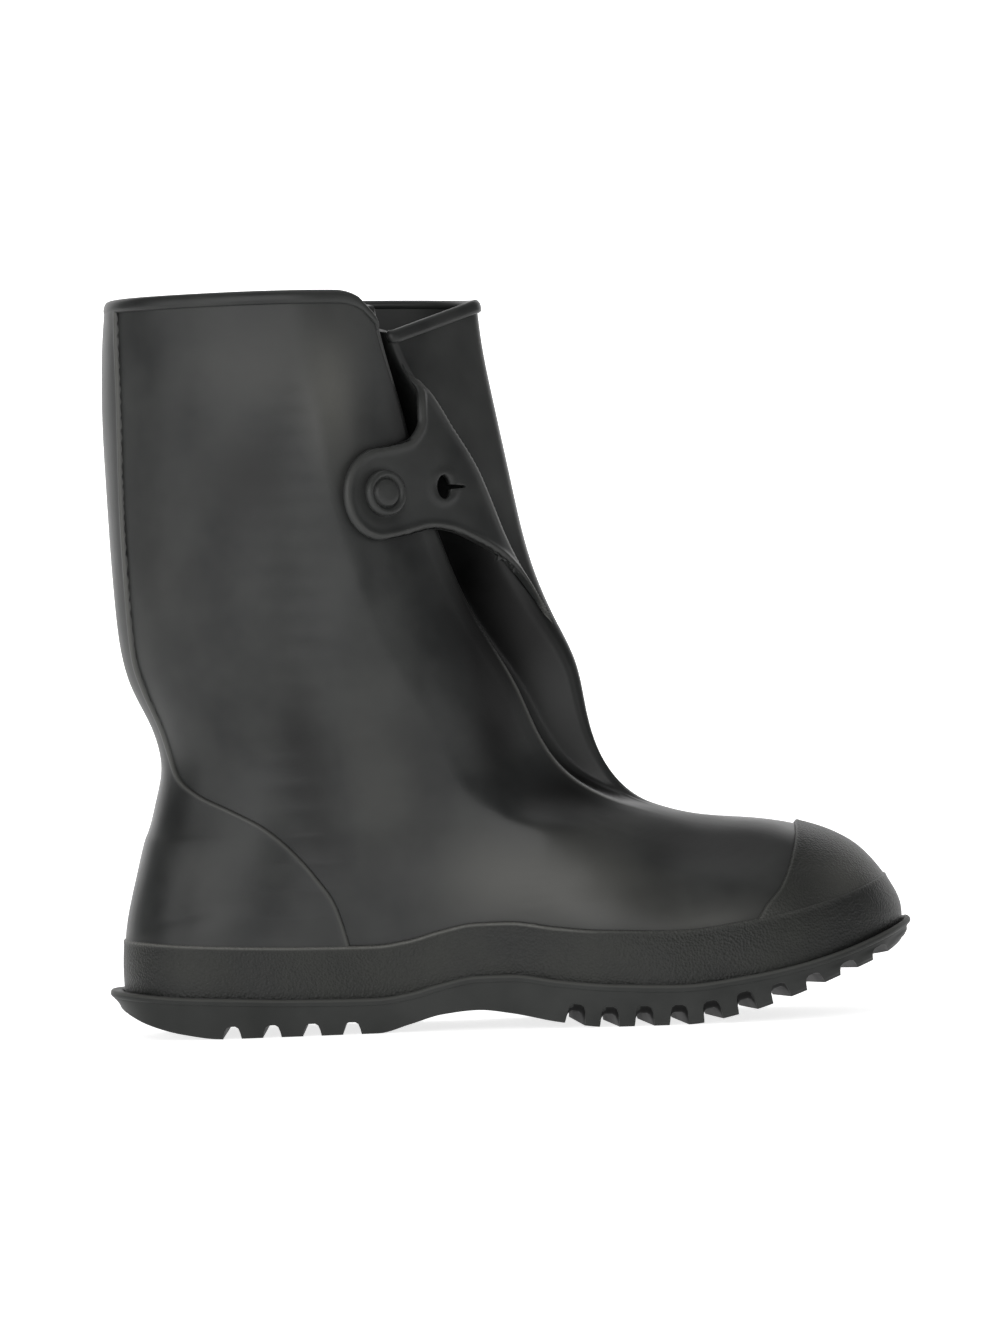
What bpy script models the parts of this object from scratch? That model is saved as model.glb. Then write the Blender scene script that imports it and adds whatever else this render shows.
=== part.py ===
"""Buttoned rubber overshoe, ten inch, for the right foot.

A thin rubber upper stands in a cleated outsole. The upper is one hollow wall, from the outsole's
rim up over toe, vamp and heel to the collar. Its front is a bellows: the wall folds inward at the
near crease, turns back at the valley and comes out again at the flap's edge. A strap on the flap
reaches across the bellows to a button on the near side. Foxing, toe cap, heel counter and collar
band are layers laid on the wall.

Metres. +X runs from heel to toe, -Y is the outer (near) side of the shoe, +Z is up. The origin is
on the floor, under the middle of the heel's tread.
"""

import math
from collections import namedtuple

import bmesh
import bpy
from mathutils import Vector

# Overall sizes
SOLE_LENGTH = 0.300
BALL_WIDTH = 0.1065
HEEL_WIDTH = 0.079
SHAFT_WIDTH = 0.107
VAMP_HEIGHT = 0.060
COLLAR_HEIGHT = 0.2575
SOLE_EDGE = 0.0135

# Rubber thicknesses and the clearance between layers
WALL = 0.0018
FOXING_THICK = 0.0015
CAP_THICK = 0.0012
COUNTER_THICK = 0.0010
BAND_THICK = 0.0012
INSOLE_THICK = 0.0015
STRAP_THICK = 0.0024
GAP = 0.0003
TRAY_GAP = 0.0005

# Layer sizes
FOXING_HEIGHT = 0.019
BAND_HEIGHT = 0.0046

# Outsole: the tray's lip, the taper of its side and the cleats
RIM_HEIGHT = 0.0032
RIM_WIDTH = 0.0025
RIM_EDGE = 0.0006
LIP_HEIGHT = 0.0034
LIP_STEP = 0.0010
SIDE_TAPER = 0.0022
BOTTOM_CHAMFER = 0.0010
CLEAT_DEPTH = 0.0046
CLEAT_SHARE = 0.42
HEEL_GROOVE = 0.0056
HEEL_PITCH = 0.0148
HEEL_GROOVES = 4
BALL_GROOVE = 0.0058
BALL_PITCH = 0.0128
BALL_GROOVES = 10
CHEVRON = 0.0055
NOTCH_RISE = 0.0032
NOTCH_REACH = 0.0042

# Closure
BUTTON_RADIUS = 0.0086
BUTTON_HEAD = 0.0036
STEM_RADIUS = 0.0032
BUTTON_FOOT_RADIUS = 0.0060
BUTTON_FOOT = 0.0010
STRAP_END_REACH = 0.0135
STRAP_STANDOFF = 0.0022
STRAP_LAP = 0.0045
STRAP_LIFTOFF = 0.0090
HOLE_CLEARANCE = 0.0006
FREE_HOLE_WIDTH = 0.0066
FREE_HOLE_HEIGHT = 0.0092
SLIT_LENGTH = 0.0072
SLIT_WIDTH = 0.0012

# The origin stands under this share of the sole's length
ORIGIN_SHARE = 0.2315

# Mesh steps around one ring of the upper
NEAR_STEPS = 18
CORNER_STEPS = 2
LEG_STEPS = 2
PANEL_STEPS = 3
FAR_STEPS = 18
SIDE_COLUMNS = 9
BACK_COLUMNS = 11
TURN_WEIGHT = 0.03
FOLD_STEPS = 5 * CORNER_STEPS + 2 * LEG_STEPS + PANEL_STEPS

# Sole line along the length: the rim's top and the tread's underside, as shares of SOLE_EDGE,
# and how far the lip stands out, as a share of RIM_WIDTH.
SoleRow = namedtuple("SoleRow", "along rim tread lip")
SOLE_LINE = [
    SoleRow(0.000, 1.37, 1.00, 2.0),
    SoleRow(0.050, 1.27, 0.43, 1.7),
    SoleRow(0.095, 1.19, 0.15, 1.2),
    SoleRow(0.145, 1.13, 0.00, 1.0),
    SoleRow(0.240, 1.03, 0.00, 1.0),
    SoleRow(0.335, 0.99, 0.00, 1.0),
    SoleRow(0.375, 1.10, 0.22, 1.0),
    SoleRow(0.415, 1.33, 0.46, 1.0),
    SoleRow(0.460, 1.51, 0.55, 1.0),
    SoleRow(0.500, 1.52, 0.44, 1.0),
    SoleRow(0.560, 1.33, 0.16, 1.0),
    SoleRow(0.620, 1.19, 0.00, 1.0),
    SoleRow(0.715, 1.11, 0.00, 1.0),
    SoleRow(0.790, 1.28, 0.28, 1.0),
    SoleRow(0.850, 1.50, 0.68, 1.0),
    SoleRow(0.910, 1.83, 1.16, 1.0),
    SoleRow(0.965, 2.25, 1.62, 1.0),
    SoleRow(1.000, 2.57, 2.05, 1.0),
]

# Plan of the last at the feather line: half width as shares of half the heel's and half the
# ball's width, added together, the centre line's swing as a share of BALL_WIDTH, and how full
# the crown is over the foot there.
PlanRow = namedtuple("PlanRow", "along heel ball centre crown")
PLAN = [
    PlanRow(0.000, 0.97, 0.00, 0.000, 3.0),
    PlanRow(0.200, 1.00, 0.00, 0.000, 3.0),
    PlanRow(0.333, 0.80, 0.11, -0.005, 2.8),
    PlanRow(0.433, 0.50, 0.34, -0.018, 2.5),
    PlanRow(0.533, 0.25, 0.62, -0.027, 2.2),
    PlanRow(0.633, 0.08, 0.875, -0.026, 2.0),
    PlanRow(0.717, 0.00, 1.00, -0.016, 2.0),
    PlanRow(0.800, 0.00, 1.005, -0.006, 2.2),
    PlanRow(0.880, 0.00, 0.985, 0.014, 2.6),
    PlanRow(1.000, 0.00, 0.95, 0.055, 2.8),
]
HEEL_ROUND = 0.125
TOE_ROUND = 0.225
HEEL_POWER = 2.3
TOE_POWER = 2.35
TOE_END = 0.987

# Rings of the upper, bottom to top, by the level of their back and front ends: 0 is the rim, 1
# the foxing's top, 2 the vamp's height and 3 the collar. follow is how closely the ring follows
# the sole line, shaft how far its plan has turned from the foot's to the leg's, and width its
# half width there as a share of half the shaft's width.
Ring = namedtuple("Ring", "back back_level front front_level follow shaft width")
RINGS = [
    Ring(0.0242, -0.137, 0.987, -0.105, 1.0, 0.00, 0.74),
    Ring(0.0236, 0.400, 0.987, 0.270, 1.0, 0.00, 0.75),
    Ring(0.0260, 1.000, 0.968, 1.000, 1.0, 0.00, 0.76),
    Ring(0.0330, 1.300, 0.917, 1.520, 0.8, 0.00, 0.78),
    Ring(0.0425, 1.580, 0.823, 1.880, 0.5, 0.00, 0.80),
    Ring(0.0500, 1.800, 0.723, 2.010, 0.3, 0.08, 0.81),
    Ring(0.0567, 1.960, 0.665, 2.040, 0.1, 0.25, 0.82),
    Ring(0.0685, 2.050, 0.625, 2.110, 0.0, 0.50, 0.83),
    Ring(0.0795, 2.125, 0.609, 2.190, 0.0, 0.80, 0.85),
    Ring(0.0683, 2.200, 0.601, 2.286, 0.0, 1.00, 0.89),
    Ring(0.0433, 2.275, 0.579, 2.357, 0.0, 1.00, 0.93),
    Ring(0.0310, 2.360, 0.557, 2.430, 0.0, 1.00, 0.96),
    Ring(0.0257, 2.490, 0.538, 2.523, 0.0, 1.00, 0.98),
    Ring(0.0225, 2.630, 0.523, 2.644, 0.0, 1.00, 1.00),
    Ring(0.0203, 2.770, 0.508, 2.765, 0.0, 1.00, 1.00),
    Ring(0.0230, 2.895, 0.495, 2.881, 0.0, 1.00, 1.00),
    Ring(0.0292, 3.000, 0.490, 2.966, 0.0, 1.00, 1.01),
]
RING_POWER = 2.1
CLIMB_POWER = 4.0
INSTEP_SOFT = 0.016
FEATHER, FOXING_TOP, COLLAR = 0, 2, len(RINGS) - 1
LAYER_LOW, CAP_HIGH, COUNTER_HIGH = FOXING_TOP + 0.04, 4.0, COLLAR - 0.42

# The bellows, by ring: how far forward each fold line lies on the ring, from its back at 0 to
# its front at 1, and how far out from the middle, as a share of the ring's half width. tuck is
# how much the near wall is drawn in at its crease, open how far the fold has opened, and dip
# how far the flap's edge hangs below the ring, as a share of COLLAR_DIP.
Fold = namedtuple("Fold", "ring crease tuck valley valley_out edge edge_out open dip")
BELLOWS = [
    Fold(4, 0.955, 0.00, 0.975, 0.08, 0.990, 0.04, 0.00, 0.0),
    Fold(5, 0.965, 0.05, 0.980, 0.06, 0.992, 0.03, 0.00, 0.0),
    Fold(6, 0.955, 0.25, 0.972, 0.08, 0.990, 0.03, 0.75, 0.0),
    Fold(7, 0.915, 0.32, 0.945, 0.11, 0.985, 0.05, 1.00, 0.0),
    Fold(8, 0.884, 0.28, 0.922, 0.11, 0.982, 0.07, 1.00, 0.0),
    Fold(9, 0.862, 0.24, 0.892, 0.09, 0.980, 0.08, 1.00, 0.0),
    Fold(10, 0.852, 0.20, 0.865, 0.09, 0.973, 0.11, 1.00, 0.0),
    Fold(11, 0.836, 0.18, 0.828, 0.11, 0.962, 0.17, 1.00, 0.0),
    Fold(12, 0.812, 0.22, 0.785, 0.14, 0.936, 0.27, 1.00, 0.0),
    Fold(13, 0.787, 0.22, 0.742, 0.18, 0.905, 0.37, 1.00, 0.0),
    Fold(14, 0.772, 0.17, 0.700, 0.22, 0.842, 0.53, 1.00, 0.1),
    Fold(15, 0.755, 0.08, 0.655, 0.24, 0.785, 0.62, 1.00, 0.5),
    Fold(16, 0.735, 0.06, 0.625, 0.25, 0.758, 0.66, 1.00, 1.0),
]
COLLAR_DIP = 0.015
TUCK_START = 0.24
CREASE_CORNER = 0.0046
VALLEY_WIDTH = 0.0062
VALLEY_CORNER = 0.0029
EDGE_CORNER = 0.0042
FRONT_CORNER = 0.0080

# Rear edge of the toe cap and front edge of the heel counter, seen from the side: share of the
# sole's length and level above the rim.
EdgePoint = namedtuple("EdgePoint", "along level")
TOE_CAP_EDGE = [
    EdgePoint(0.790, 0.60),
    EdgePoint(0.815, 1.10),
    EdgePoint(0.836, 1.25),
    EdgePoint(0.852, 1.48),
    EdgePoint(0.862, 1.75),
    EdgePoint(0.851, 1.95),
    EdgePoint(0.835, 2.15),
]
COUNTER_EDGE = [
    EdgePoint(0.310, 0.60),
    EdgePoint(0.303, 1.05),
    EdgePoint(0.288, 1.40),
    EdgePoint(0.268, 1.62),
    EdgePoint(0.240, 1.86),
    EdgePoint(0.202, 2.02),
    EdgePoint(0.162, 2.050),
    EdgePoint(0.126, 2.075),
    EdgePoint(0.103, 2.105),
    EdgePoint(0.092, 2.150),
    EdgePoint(0.082, 2.195),
    EdgePoint(0.062, 2.270),
    EdgePoint(0.052, 2.330),
    EdgePoint(0.046, 2.500),
    EdgePoint(0.043, 2.700),
    EdgePoint(0.045, 2.900),
    EdgePoint(0.049, 3.100),
]

# The strap's upper and lower edge, seen from the side, from the flap's edge to its round end.
STRAP_TOP = [
    EdgePoint(0.393, 2.885),
    EdgePoint(0.402, 2.841),
    EdgePoint(0.409, 2.799),
    EdgePoint(0.409, 2.752),
    EdgePoint(0.393, 2.722),
    EdgePoint(0.361, 2.7215),
]
STRAP_BOTTOM = [
    EdgePoint(0.361, 2.5465),
    EdgePoint(0.411, 2.546),
    EdgePoint(0.473, 2.506),
    EdgePoint(0.521, 2.451),
    EdgePoint(0.569, 2.358),
    EdgePoint(0.598, 2.291),
]
BUTTON_ALONG = 0.361
BUTTON_LEVEL = 2.634
FREE_HOLE_ALONG = 0.442
FREE_HOLE_LEVEL = 2.617


def along(share):
    """X of a share of the sole's length, counted from the heel's end."""
    return (share - ORIGIN_SHARE) * SOLE_LENGTH


def share_at(x):
    return x / SOLE_LENGTH + ORIGIN_SHARE


def lerp(a, b, t):
    return a + (b - a) * t


def smooth(t):
    t = min(1.0, max(0.0, t))
    return t * t * (3 - 2 * t)


def through(rows, key, column, at):
    """Value of a table's column at a place between its rows, on a curve that doesn't overshoot."""
    keys = [getattr(r, key) for r in rows]
    values = [getattr(r, column) for r in rows]
    if at <= keys[0]:
        return values[0]
    if at >= keys[-1]:
        return values[-1]
    i = max(j for j in range(len(keys) - 1) if keys[j] <= at)
    steps = [keys[j + 1] - keys[j] for j in range(len(keys) - 1)]
    slopes = [(values[j + 1] - values[j]) / steps[j] for j in range(len(steps))]

    def tangent(j):
        if j == 0 or j == len(keys) - 1:
            return slopes[min(j, len(slopes) - 1)]
        before, after = slopes[j - 1], slopes[j]
        if before * after <= 0:
            return 0.0
        return 2 * before * after / (before + after)

    t = (at - keys[i]) / steps[i]
    t2, t3 = t * t, t * t * t
    return (
        (2 * t3 - 3 * t2 + 1) * values[i]
        + (t3 - 2 * t2 + t) * steps[i] * tangent(i)
        + (3 * t2 - 2 * t3) * values[i + 1]
        + (t3 - t2) * steps[i] * tangent(i + 1)
    )


def rim_z(x):
    return through(SOLE_LINE, "along", "rim", share_at(x)) * SOLE_EDGE


def tread_z(x):
    return through(SOLE_LINE, "along", "tread", share_at(x)) * SOLE_EDGE


def tray_z(x):
    return rim_z(x) - RIM_HEIGHT


def rise(level):
    """Height above the rim of a level: 1 is the foxing's top, 2 the vamp, 3 the collar."""
    if level <= 1:
        return level * FOXING_HEIGHT
    if level <= 2:
        return lerp(FOXING_HEIGHT, VAMP_HEIGHT, level - 1)
    return lerp(VAMP_HEIGHT, COLLAR_HEIGHT, level - 2)


RingIndex = namedtuple("RingIndex", "index " + " ".join(Ring._fields))
INDEXED_RINGS = [RingIndex(i, *ring) for i, ring in enumerate(RINGS)]


def ring_value(column, v):
    return through(INDEXED_RINGS, "index", column, v)


def fold_value(column, v):
    return through(BELLOWS, "ring", column, v)


def ring_ends(v):
    """Back and front point of a ring in the middle plane: x and z of each."""
    back_x = along(ring_value("back", v))
    front_x = along(ring_value("front", v))
    back_z = rim_z(back_x) + rise(ring_value("back_level", v))
    front_z = rim_z(front_x) + rise(ring_value("front_level", v))
    return back_x, back_z, front_x, front_z


PROFILE_SAMPLES = 240
PROFILE = []
for sample in range(PROFILE_SAMPLES + 1):
    sample_v = 1 + (COLLAR - 1) * sample / PROFILE_SAMPLES
    PROFILE.append(ring_ends(sample_v)[2:])


def ridge_z(x):
    """Height of the middle line over toe, vamp and shaft front at x."""
    if x >= PROFILE[0][0]:
        return PROFILE[0][1]
    for (x0, z0), (x1, z1) in zip(PROFILE, PROFILE[1:]):
        if x1 <= x <= x0:
            return lerp(z0, z1, (x0 - x) / max(x0 - x1, 1e-9))
    return PROFILE[-1][1]


def rounded_end(distance, length, power):
    """1 away from a rounded end, falling to 0 at it, as a superellipse."""
    reach = min(1.0, max(0.0, 1 - distance / length))
    return (1 - reach**power) ** (1 / power)


def plan_half(x, back_x):
    share = share_at(x)
    heel = through(PLAN, "along", "heel", share) * HEEL_WIDTH / 2
    ball = through(PLAN, "along", "ball", share) * BALL_WIDTH / 2
    heel_end = rounded_end(x - back_x, HEEL_ROUND * SOLE_LENGTH, HEEL_POWER)
    toe_end = rounded_end(along(TOE_END) - x, TOE_ROUND * SOLE_LENGTH, TOE_POWER)
    return (heel + ball) * heel_end * toe_end


def plan_centre(x):
    return through(PLAN, "along", "centre", share_at(x)) * BALL_WIDTH


def ring_height(v, x, ends):
    back_x, back_z, front_x, front_z = ends
    t = (x - back_x) / (front_x - back_x)
    climb = max(0.0, t) ** CLIMB_POWER
    follow = ring_value("follow", v)
    straight = lerp(back_z, front_z, climb)
    sole = rim_z(x) - lerp(rim_z(back_x), rim_z(front_x), climb)
    return straight + follow * sole


def foot_half(x, z, back_x):
    """Half width of the foot's form at x and z: the plan, closing over to the ridge."""
    floor_z = rim_z(x)
    over = max(0.0, z - floor_z) / max(ridge_z(x) - floor_z, 1e-6)
    crown = through(PLAN, "along", "crown", share_at(x))
    return plan_half(x, back_x) * math.sqrt(max(0.0, 1 - min(1.0, over) ** crown))


def ring_half(v, x, z, ends):
    """Half width of the upper at x on ring v."""
    back_x, _, front_x, _ = ends
    soft = min(INSTEP_SOFT, (front_x - x) / 2, max(0.0, v - FOXING_TOP) * INSTEP_SOFT)
    spread = [foot_half(x + soft * k, z, back_x) for k in (-1, -0.5, 0, 0.5, 1)]
    foot = sum(spread) / len(spread) if soft > 0 else foot_half(x, z, back_x)
    t = min(1.0, max(0.0, (x - back_x) / (front_x - back_x)))
    leg = ring_value("width", v) * SHAFT_WIDTH / 2
    leg *= (1 - abs(2 * t - 1) ** RING_POWER) ** (1 / RING_POWER)
    return lerp(foot, leg, ring_value("shaft", v))


def wall_point(v, t, side, ends):
    """Point of the plain ring: t from the back at 0 to the front at 1, side -1 near, +1 far."""
    back_x, _, front_x, _ = ends
    x = lerp(back_x, front_x, t)
    z = ring_height(v, x, ends)
    half = ring_half(v, x, z, ends)
    if side < 0:
        crease, tuck = fold_value("crease", v), fold_value("tuck", v)
        half *= 1 - tuck * smooth((t - crease + TUCK_START) / TUCK_START)
    centre = plan_centre(x) * (1 - ring_value("shaft", v))
    return Vector((x, centre + side * half, z))


ARC_SAMPLES = 160


def arc(v, start, stop, side, ends):
    """Dense points of the plain ring between two places on it."""
    angles = [math.acos(1 - 2 * place) for place in (start, stop)]
    points = []
    for i in range(ARC_SAMPLES + 1):
        t = (1 - math.cos(lerp(angles[0], angles[1], i / ARC_SAMPLES))) / 2
        points.append(wall_point(v, t, side, ends))
    return points


def even(points, steps):
    """The same path in even steps, shorter where it turns."""
    passed = [0.0]
    for i, (a, b) in enumerate(zip(points, points[1:])):
        turn = (b - a).angle(a - points[i - 1], 0.0) if i else 0.0
        length = (b - a).length
        passed.append(passed[-1] + length + min(TURN_WEIGHT * turn, 1.5 * length))
    found, j = [], 0
    for i in range(steps + 1):
        want = passed[-1] * i / steps
        while j < len(passed) - 2 and passed[j + 1] < want:
            j += 1
        span = max(passed[j + 1] - passed[j], 1e-12)
        found.append(points[j].lerp(points[j + 1], min(1.0, (want - passed[j]) / span)))
    return found


def split_path(points, length):
    """The path's first part of that length, and the rest of it."""
    head, left = [points[0]], length
    for i, (a, b) in enumerate(zip(points, points[1:])):
        step = (b - a).length
        if step > left:
            middle = a.lerp(b, left / step)
            return head + [middle], [middle] + points[i + 1 :]
        head.append(b)
        left -= step
    return head[:-1], head[-2:]


def corner(before, tip, after, length, steps):
    """A round corner at tip, in steps, that starts and ends at most that length from it."""
    to_before, to_after = before - tip, after - tip
    reach = min(length, 0.48 * to_before.length, 0.48 * to_after.length)
    start = tip + to_before.normalized() * reach
    stop = tip + to_after.normalized() * reach
    half_angle = to_before.angle(to_after, math.pi) / 2
    weight = math.sin(half_angle)
    points = []
    for i in range(steps + 1):
        s = i / steps
        a, b, c = (1 - s) ** 2, 2 * s * (1 - s) * weight, s * s
        points.append((start * a + tip * b + stop * c) / (a + b + c))
    return points


def fold_points(v, ends):
    """Crease, both sides of the valley, and the flap's edge on ring v."""
    back_x, _, front_x, _ = ends
    opened = fold_value("open", v)
    crease = wall_point(v, fold_value("crease", v), -1, ends)
    leg = ring_value("width", v) * SHAFT_WIDTH / 2

    def placed(column, out_column):
        t, out = fold_value(column, v), fold_value(out_column, v)
        plain = wall_point(v, t, -1, ends)
        x = lerp(back_x, front_x, t)
        folded = Vector((x, -out * leg, ring_height(v, x, ends)))
        return plain.lerp(folded, opened)

    valley = placed("valley", "valley_out")
    edge = placed("edge", "edge_out")
    edge.z -= COLLAR_DIP * fold_value("dip", v)
    valley.z -= COLLAR_DIP * fold_value("dip", v) / 2
    across = (edge - crease).normalized() * VALLEY_WIDTH / 2
    spread = min(1.0, (edge - crease).length / (3 * VALLEY_WIDTH)) * opened
    return crease, valley - across * spread, valley + across * spread, edge


def folded_ring(v, ends):
    """Ring v with the bellows folded in, from the back round the near side and the far side."""
    crease, valley_in, valley_out, edge = fold_points(v, ends)
    front = wall_point(v, 1.0, 1, ends)
    near = split_path(arc(v, fold_value("crease", v), 0.0, -1, ends), CREASE_CORNER)[1][::-1]
    far = split_path(arc(v, 1.0, 0.0, 1, ends), FRONT_CORNER)[1]
    path = even(near, NEAR_STEPS)
    stops = [near[-1], crease, valley_in, valley_out, edge, front, far[0]]
    reaches = [CREASE_CORNER, VALLEY_CORNER, VALLEY_CORNER, EDGE_CORNER, FRONT_CORNER]
    legs = [0, LEG_STEPS, 0, LEG_STEPS, PANEL_STEPS]
    for i, reach in enumerate(reaches, start=1):
        bend = corner(stops[i - 1], stops[i], stops[i + 1], reach, CORNER_STEPS)
        steps = legs[i - 1]
        for step in range(1, steps):
            path.append(path[-1].lerp(bend[0], 1 / (steps - step + 1)))
        path += bend if steps else bend[1:]
    return path + even(far, FAR_STEPS)[1:-1]


def plain_ring(v, ends):
    """Ring v without the bellows, its points beside those of the folded ring."""
    crease = fold_value("crease", v)
    near = arc(v, 0.0, crease, -1, ends)
    tip, far = split_path(arc(v, 1.0, 0.0, 1, ends), FRONT_CORNER)
    front = arc(v, crease, 1.0, -1, ends)[:-1] + tip
    return even(near, NEAR_STEPS) + even(front, FOLD_STEPS)[1:-1] + even(far, FAR_STEPS)[:-1]


def ring(v):
    """All points of ring v, from the back round the near side, the bellows and the far side."""
    ends = ring_ends(v)
    opened = smooth(fold_value("open", v))
    if opened == 0:
        return plain_ring(v, ends)
    folded = folded_ring(v, ends)
    if opened == 1:
        return folded
    return [a.lerp(b, opened) for a, b in zip(plain_ring(v, ends), folded)]


def grid_of(levels):
    return [ring(v) for v in levels]


def lifted(rows, lift, closed=True):
    """The rings moved out along the surface's normal."""
    count = len(rows[0])
    moved = []
    for i, row in enumerate(rows):
        below, above = rows[max(i - 1, 0)], rows[min(i + 1, len(rows) - 1)]
        line = []
        for j, point in enumerate(row):
            if closed:
                around = row[(j + 1) % count] - row[j - 1]
            else:
                around = row[min(j + 1, count - 1)] - row[max(j - 1, 0)]
            line.append(point + around.cross(above[j] - below[j]).normalized() * lift)
        moved.append(line)
    return moved


def linked(name, mesh, collection):
    thing = bpy.data.objects.new(name, mesh)
    collection.objects.link(thing)
    return thing


def shell(name, rows, low_lift, high_lift, collection, closed=True):
    """A closed wall between two lifts off a surface through rows of points.

    Its quads are split alike in every layer, so layers lie true on each other.
    """
    bm = bmesh.new()
    skins = []
    for lift in (low_lift, high_lift):
        skins.append([[bm.verts.new(p) for p in row] for row in lifted(rows, lift, closed)])
    count = len(rows[0])
    steps = range(count if closed else count - 1)

    def band(a, b, flip):
        for j in steps:
            k = (j + 1) % count
            for corners in ((a[j], a[k], b[k]), (a[j], b[k], b[j])):
                bm.faces.new(corners[::-1] if flip else corners)

    inner, outer = skins
    for i in range(len(rows) - 1):
        band(outer[i], outer[i + 1], False)
        band(inner[i], inner[i + 1], True)
    band(inner[0], outer[0], False)
    band(inner[-1], outer[-1], True)
    if not closed:
        for j, flip in ((0, False), (-1, True)):
            for i in range(len(rows) - 1):
                corners = (inner[i][j], outer[i][j], outer[i + 1][j], inner[i + 1][j])
                bm.faces.new(corners[::-1] if flip else corners)
    mesh = bpy.data.meshes.new(name)
    bm.to_mesh(mesh)
    bm.free()
    return linked(name, mesh, collection)


def cut(thing, cutter, operation):
    joined = thing.modifiers.new(cutter.name, "BOOLEAN")
    joined.operation = operation
    joined.solver = "EXACT"
    joined.object = cutter
    return thing


def helper(thing):
    thing.hide_render = True
    thing.display_type = "WIRE"
    return thing


def side_prism(name, outline, half_width, collection):
    """A prism across the shoe whose side view is the outline, a list of x and z."""
    rows = [[Vector((x, y, z)) for x, z in outline] for y in (-half_width, half_width)]
    bm = bmesh.new()
    made = [[bm.verts.new(p) for p in row] for row in rows]
    for j in range(len(outline)):
        k = (j + 1) % len(outline)
        bm.faces.new((made[0][j], made[0][k], made[1][k], made[1][j]))
    bm.faces.new(made[0])
    bm.faces.new(list(reversed(made[1])))
    bmesh.ops.recalc_face_normals(bm, faces=bm.faces)
    mesh = bpy.data.meshes.new(name)
    bm.to_mesh(mesh)
    bm.free()
    return helper(linked(name, mesh, collection))


def edge_line(points, samples):
    """Smooth side-view line through edge points, as a list of x and z."""
    count = len(points) - 1
    Numbered = namedtuple("Numbered", "index along level")
    rows = [Numbered(i, p.along, p.level) for i, p in enumerate(points)]
    line = []
    for i in range(samples + 1):
        at = count * i / samples
        x = along(through(rows, "index", "along", at))
        line.append((x, rim_z(x) + rise(through(rows, "index", "level", at))))
    return line


def finish(thing, colour, roughness):
    material = bpy.data.materials.new(thing.name)
    material.use_nodes = True
    shader = material.node_tree.nodes["Principled BSDF"]
    shader.inputs["Base Color"].default_value = (*colour, 1)
    shader.inputs["Roughness"].default_value = roughness
    shader.inputs["Metallic"].default_value = 0.0
    thing.data.materials.clear()
    thing.data.materials.append(material)
    for face in thing.data.polygons:
        face.use_smooth = True
    thing.data.set_sharp_from_angle(angle=math.radians(35))
    return thing


UPPER_RUBBER = (0.030, 0.031, 0.031)
SOLE_RUBBER = (0.022, 0.023, 0.023)


def levels_between(low, high, steps):
    return [lerp(low, high, i / steps) for i in range(steps + 1)]


# Rings at which the upper and the layers on it are meshed
LEVELS = [0, 1, 2, LAYER_LOW, 2.6, 3.2, 3.8, 4.3, 4.7, 5.1, 5.6, 6.1, 6.6, 7.1, 7.6, 8.1, 8.6]
LEVELS += [9.1, 10, 11, 12, 13, 14, 15, 16]


def levels_within(low, high):
    """The meshed levels between two levels, with those two as its ends."""
    return [low] + [v for v in LEVELS if low + 0.03 < v < high - 0.03] + [high]


def make_upper(parts):
    upper = shell("upper", grid_of(LEVELS), -WALL, 0.0, parts)
    return finish(upper, UPPER_RUBBER, 0.48)


def make_foxing(parts):
    rows = grid_of(levels_within(FEATHER, FOXING_TOP))
    foxing = shell("foxing", rows, GAP, GAP + FOXING_THICK, parts)
    return finish(foxing, SOLE_RUBBER, 0.62)


def make_toe_cap(parts, cutters):
    front = slice(NEAR_STEPS - SIDE_COLUMNS, NEAR_STEPS + FOLD_STEPS + SIDE_COLUMNS + 1)
    rows = [row[front] for row in grid_of(levels_within(LAYER_LOW, CAP_HIGH))]
    cap = shell("toe_cap", rows, GAP, GAP + CAP_THICK, parts, closed=False)
    line = edge_line(TOE_CAP_EDGE, 18)
    far_x = along(1.1)
    outline = line + [(far_x, line[-1][1]), (far_x, line[0][1])]
    cut(cap, side_prism("toe_cap_cutter", outline, BALL_WIDTH, cutters), "INTERSECT")
    return finish(cap, SOLE_RUBBER, 0.62)


def make_counter(parts, cutters):
    rings = grid_of(levels_within(LAYER_LOW, COUNTER_HIGH))
    rows = [row[-BACK_COLUMNS:] + row[: BACK_COLUMNS + 1] for row in rings]
    counter = shell("heel_counter", rows, GAP, GAP + COUNTER_THICK, parts, closed=False)
    line = edge_line(COUNTER_EDGE, 40)
    far_x = along(-0.1)
    outline = line + [(far_x, line[-1][1]), (far_x, line[0][1])]
    cut(counter, side_prism("counter_cutter", outline, BALL_WIDTH, cutters), "INTERSECT")
    return finish(counter, UPPER_RUBBER, 0.5)


def make_band(parts):
    """Collar band, from the flap's edge round the front, far side and back to the near crease."""
    low = COLLAR - BAND_HEIGHT / (COLLAR_HEIGHT - VAMP_HEIGHT) / (3.0 - 2.899)
    rows = grid_of([low, (low + COLLAR) / 2, COLLAR])
    edge_start = NEAR_STEPS + 3 * CORNER_STEPS + 2 * LEG_STEPS
    crease_end = NEAR_STEPS + CORNER_STEPS
    visible = [row[edge_start:] + row[:crease_end] for row in rows]
    band = shell("collar_band", visible, GAP, GAP + BAND_THICK, parts, closed=False)
    return finish(band, UPPER_RUBBER, 0.45)


def place_at_level(share, level):
    """Ring number whose near wall passes a side-view place, by halving."""
    x, z = along(share), rim_z(along(share)) + rise(level)
    low, high = float(FOXING_TOP), float(COLLAR)
    for _ in range(40):
        v = (low + high) / 2
        if ring_height(v, x, ring_ends(v)) < z:
            low = v
        else:
            high = v
    return (low + high) / 2


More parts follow.
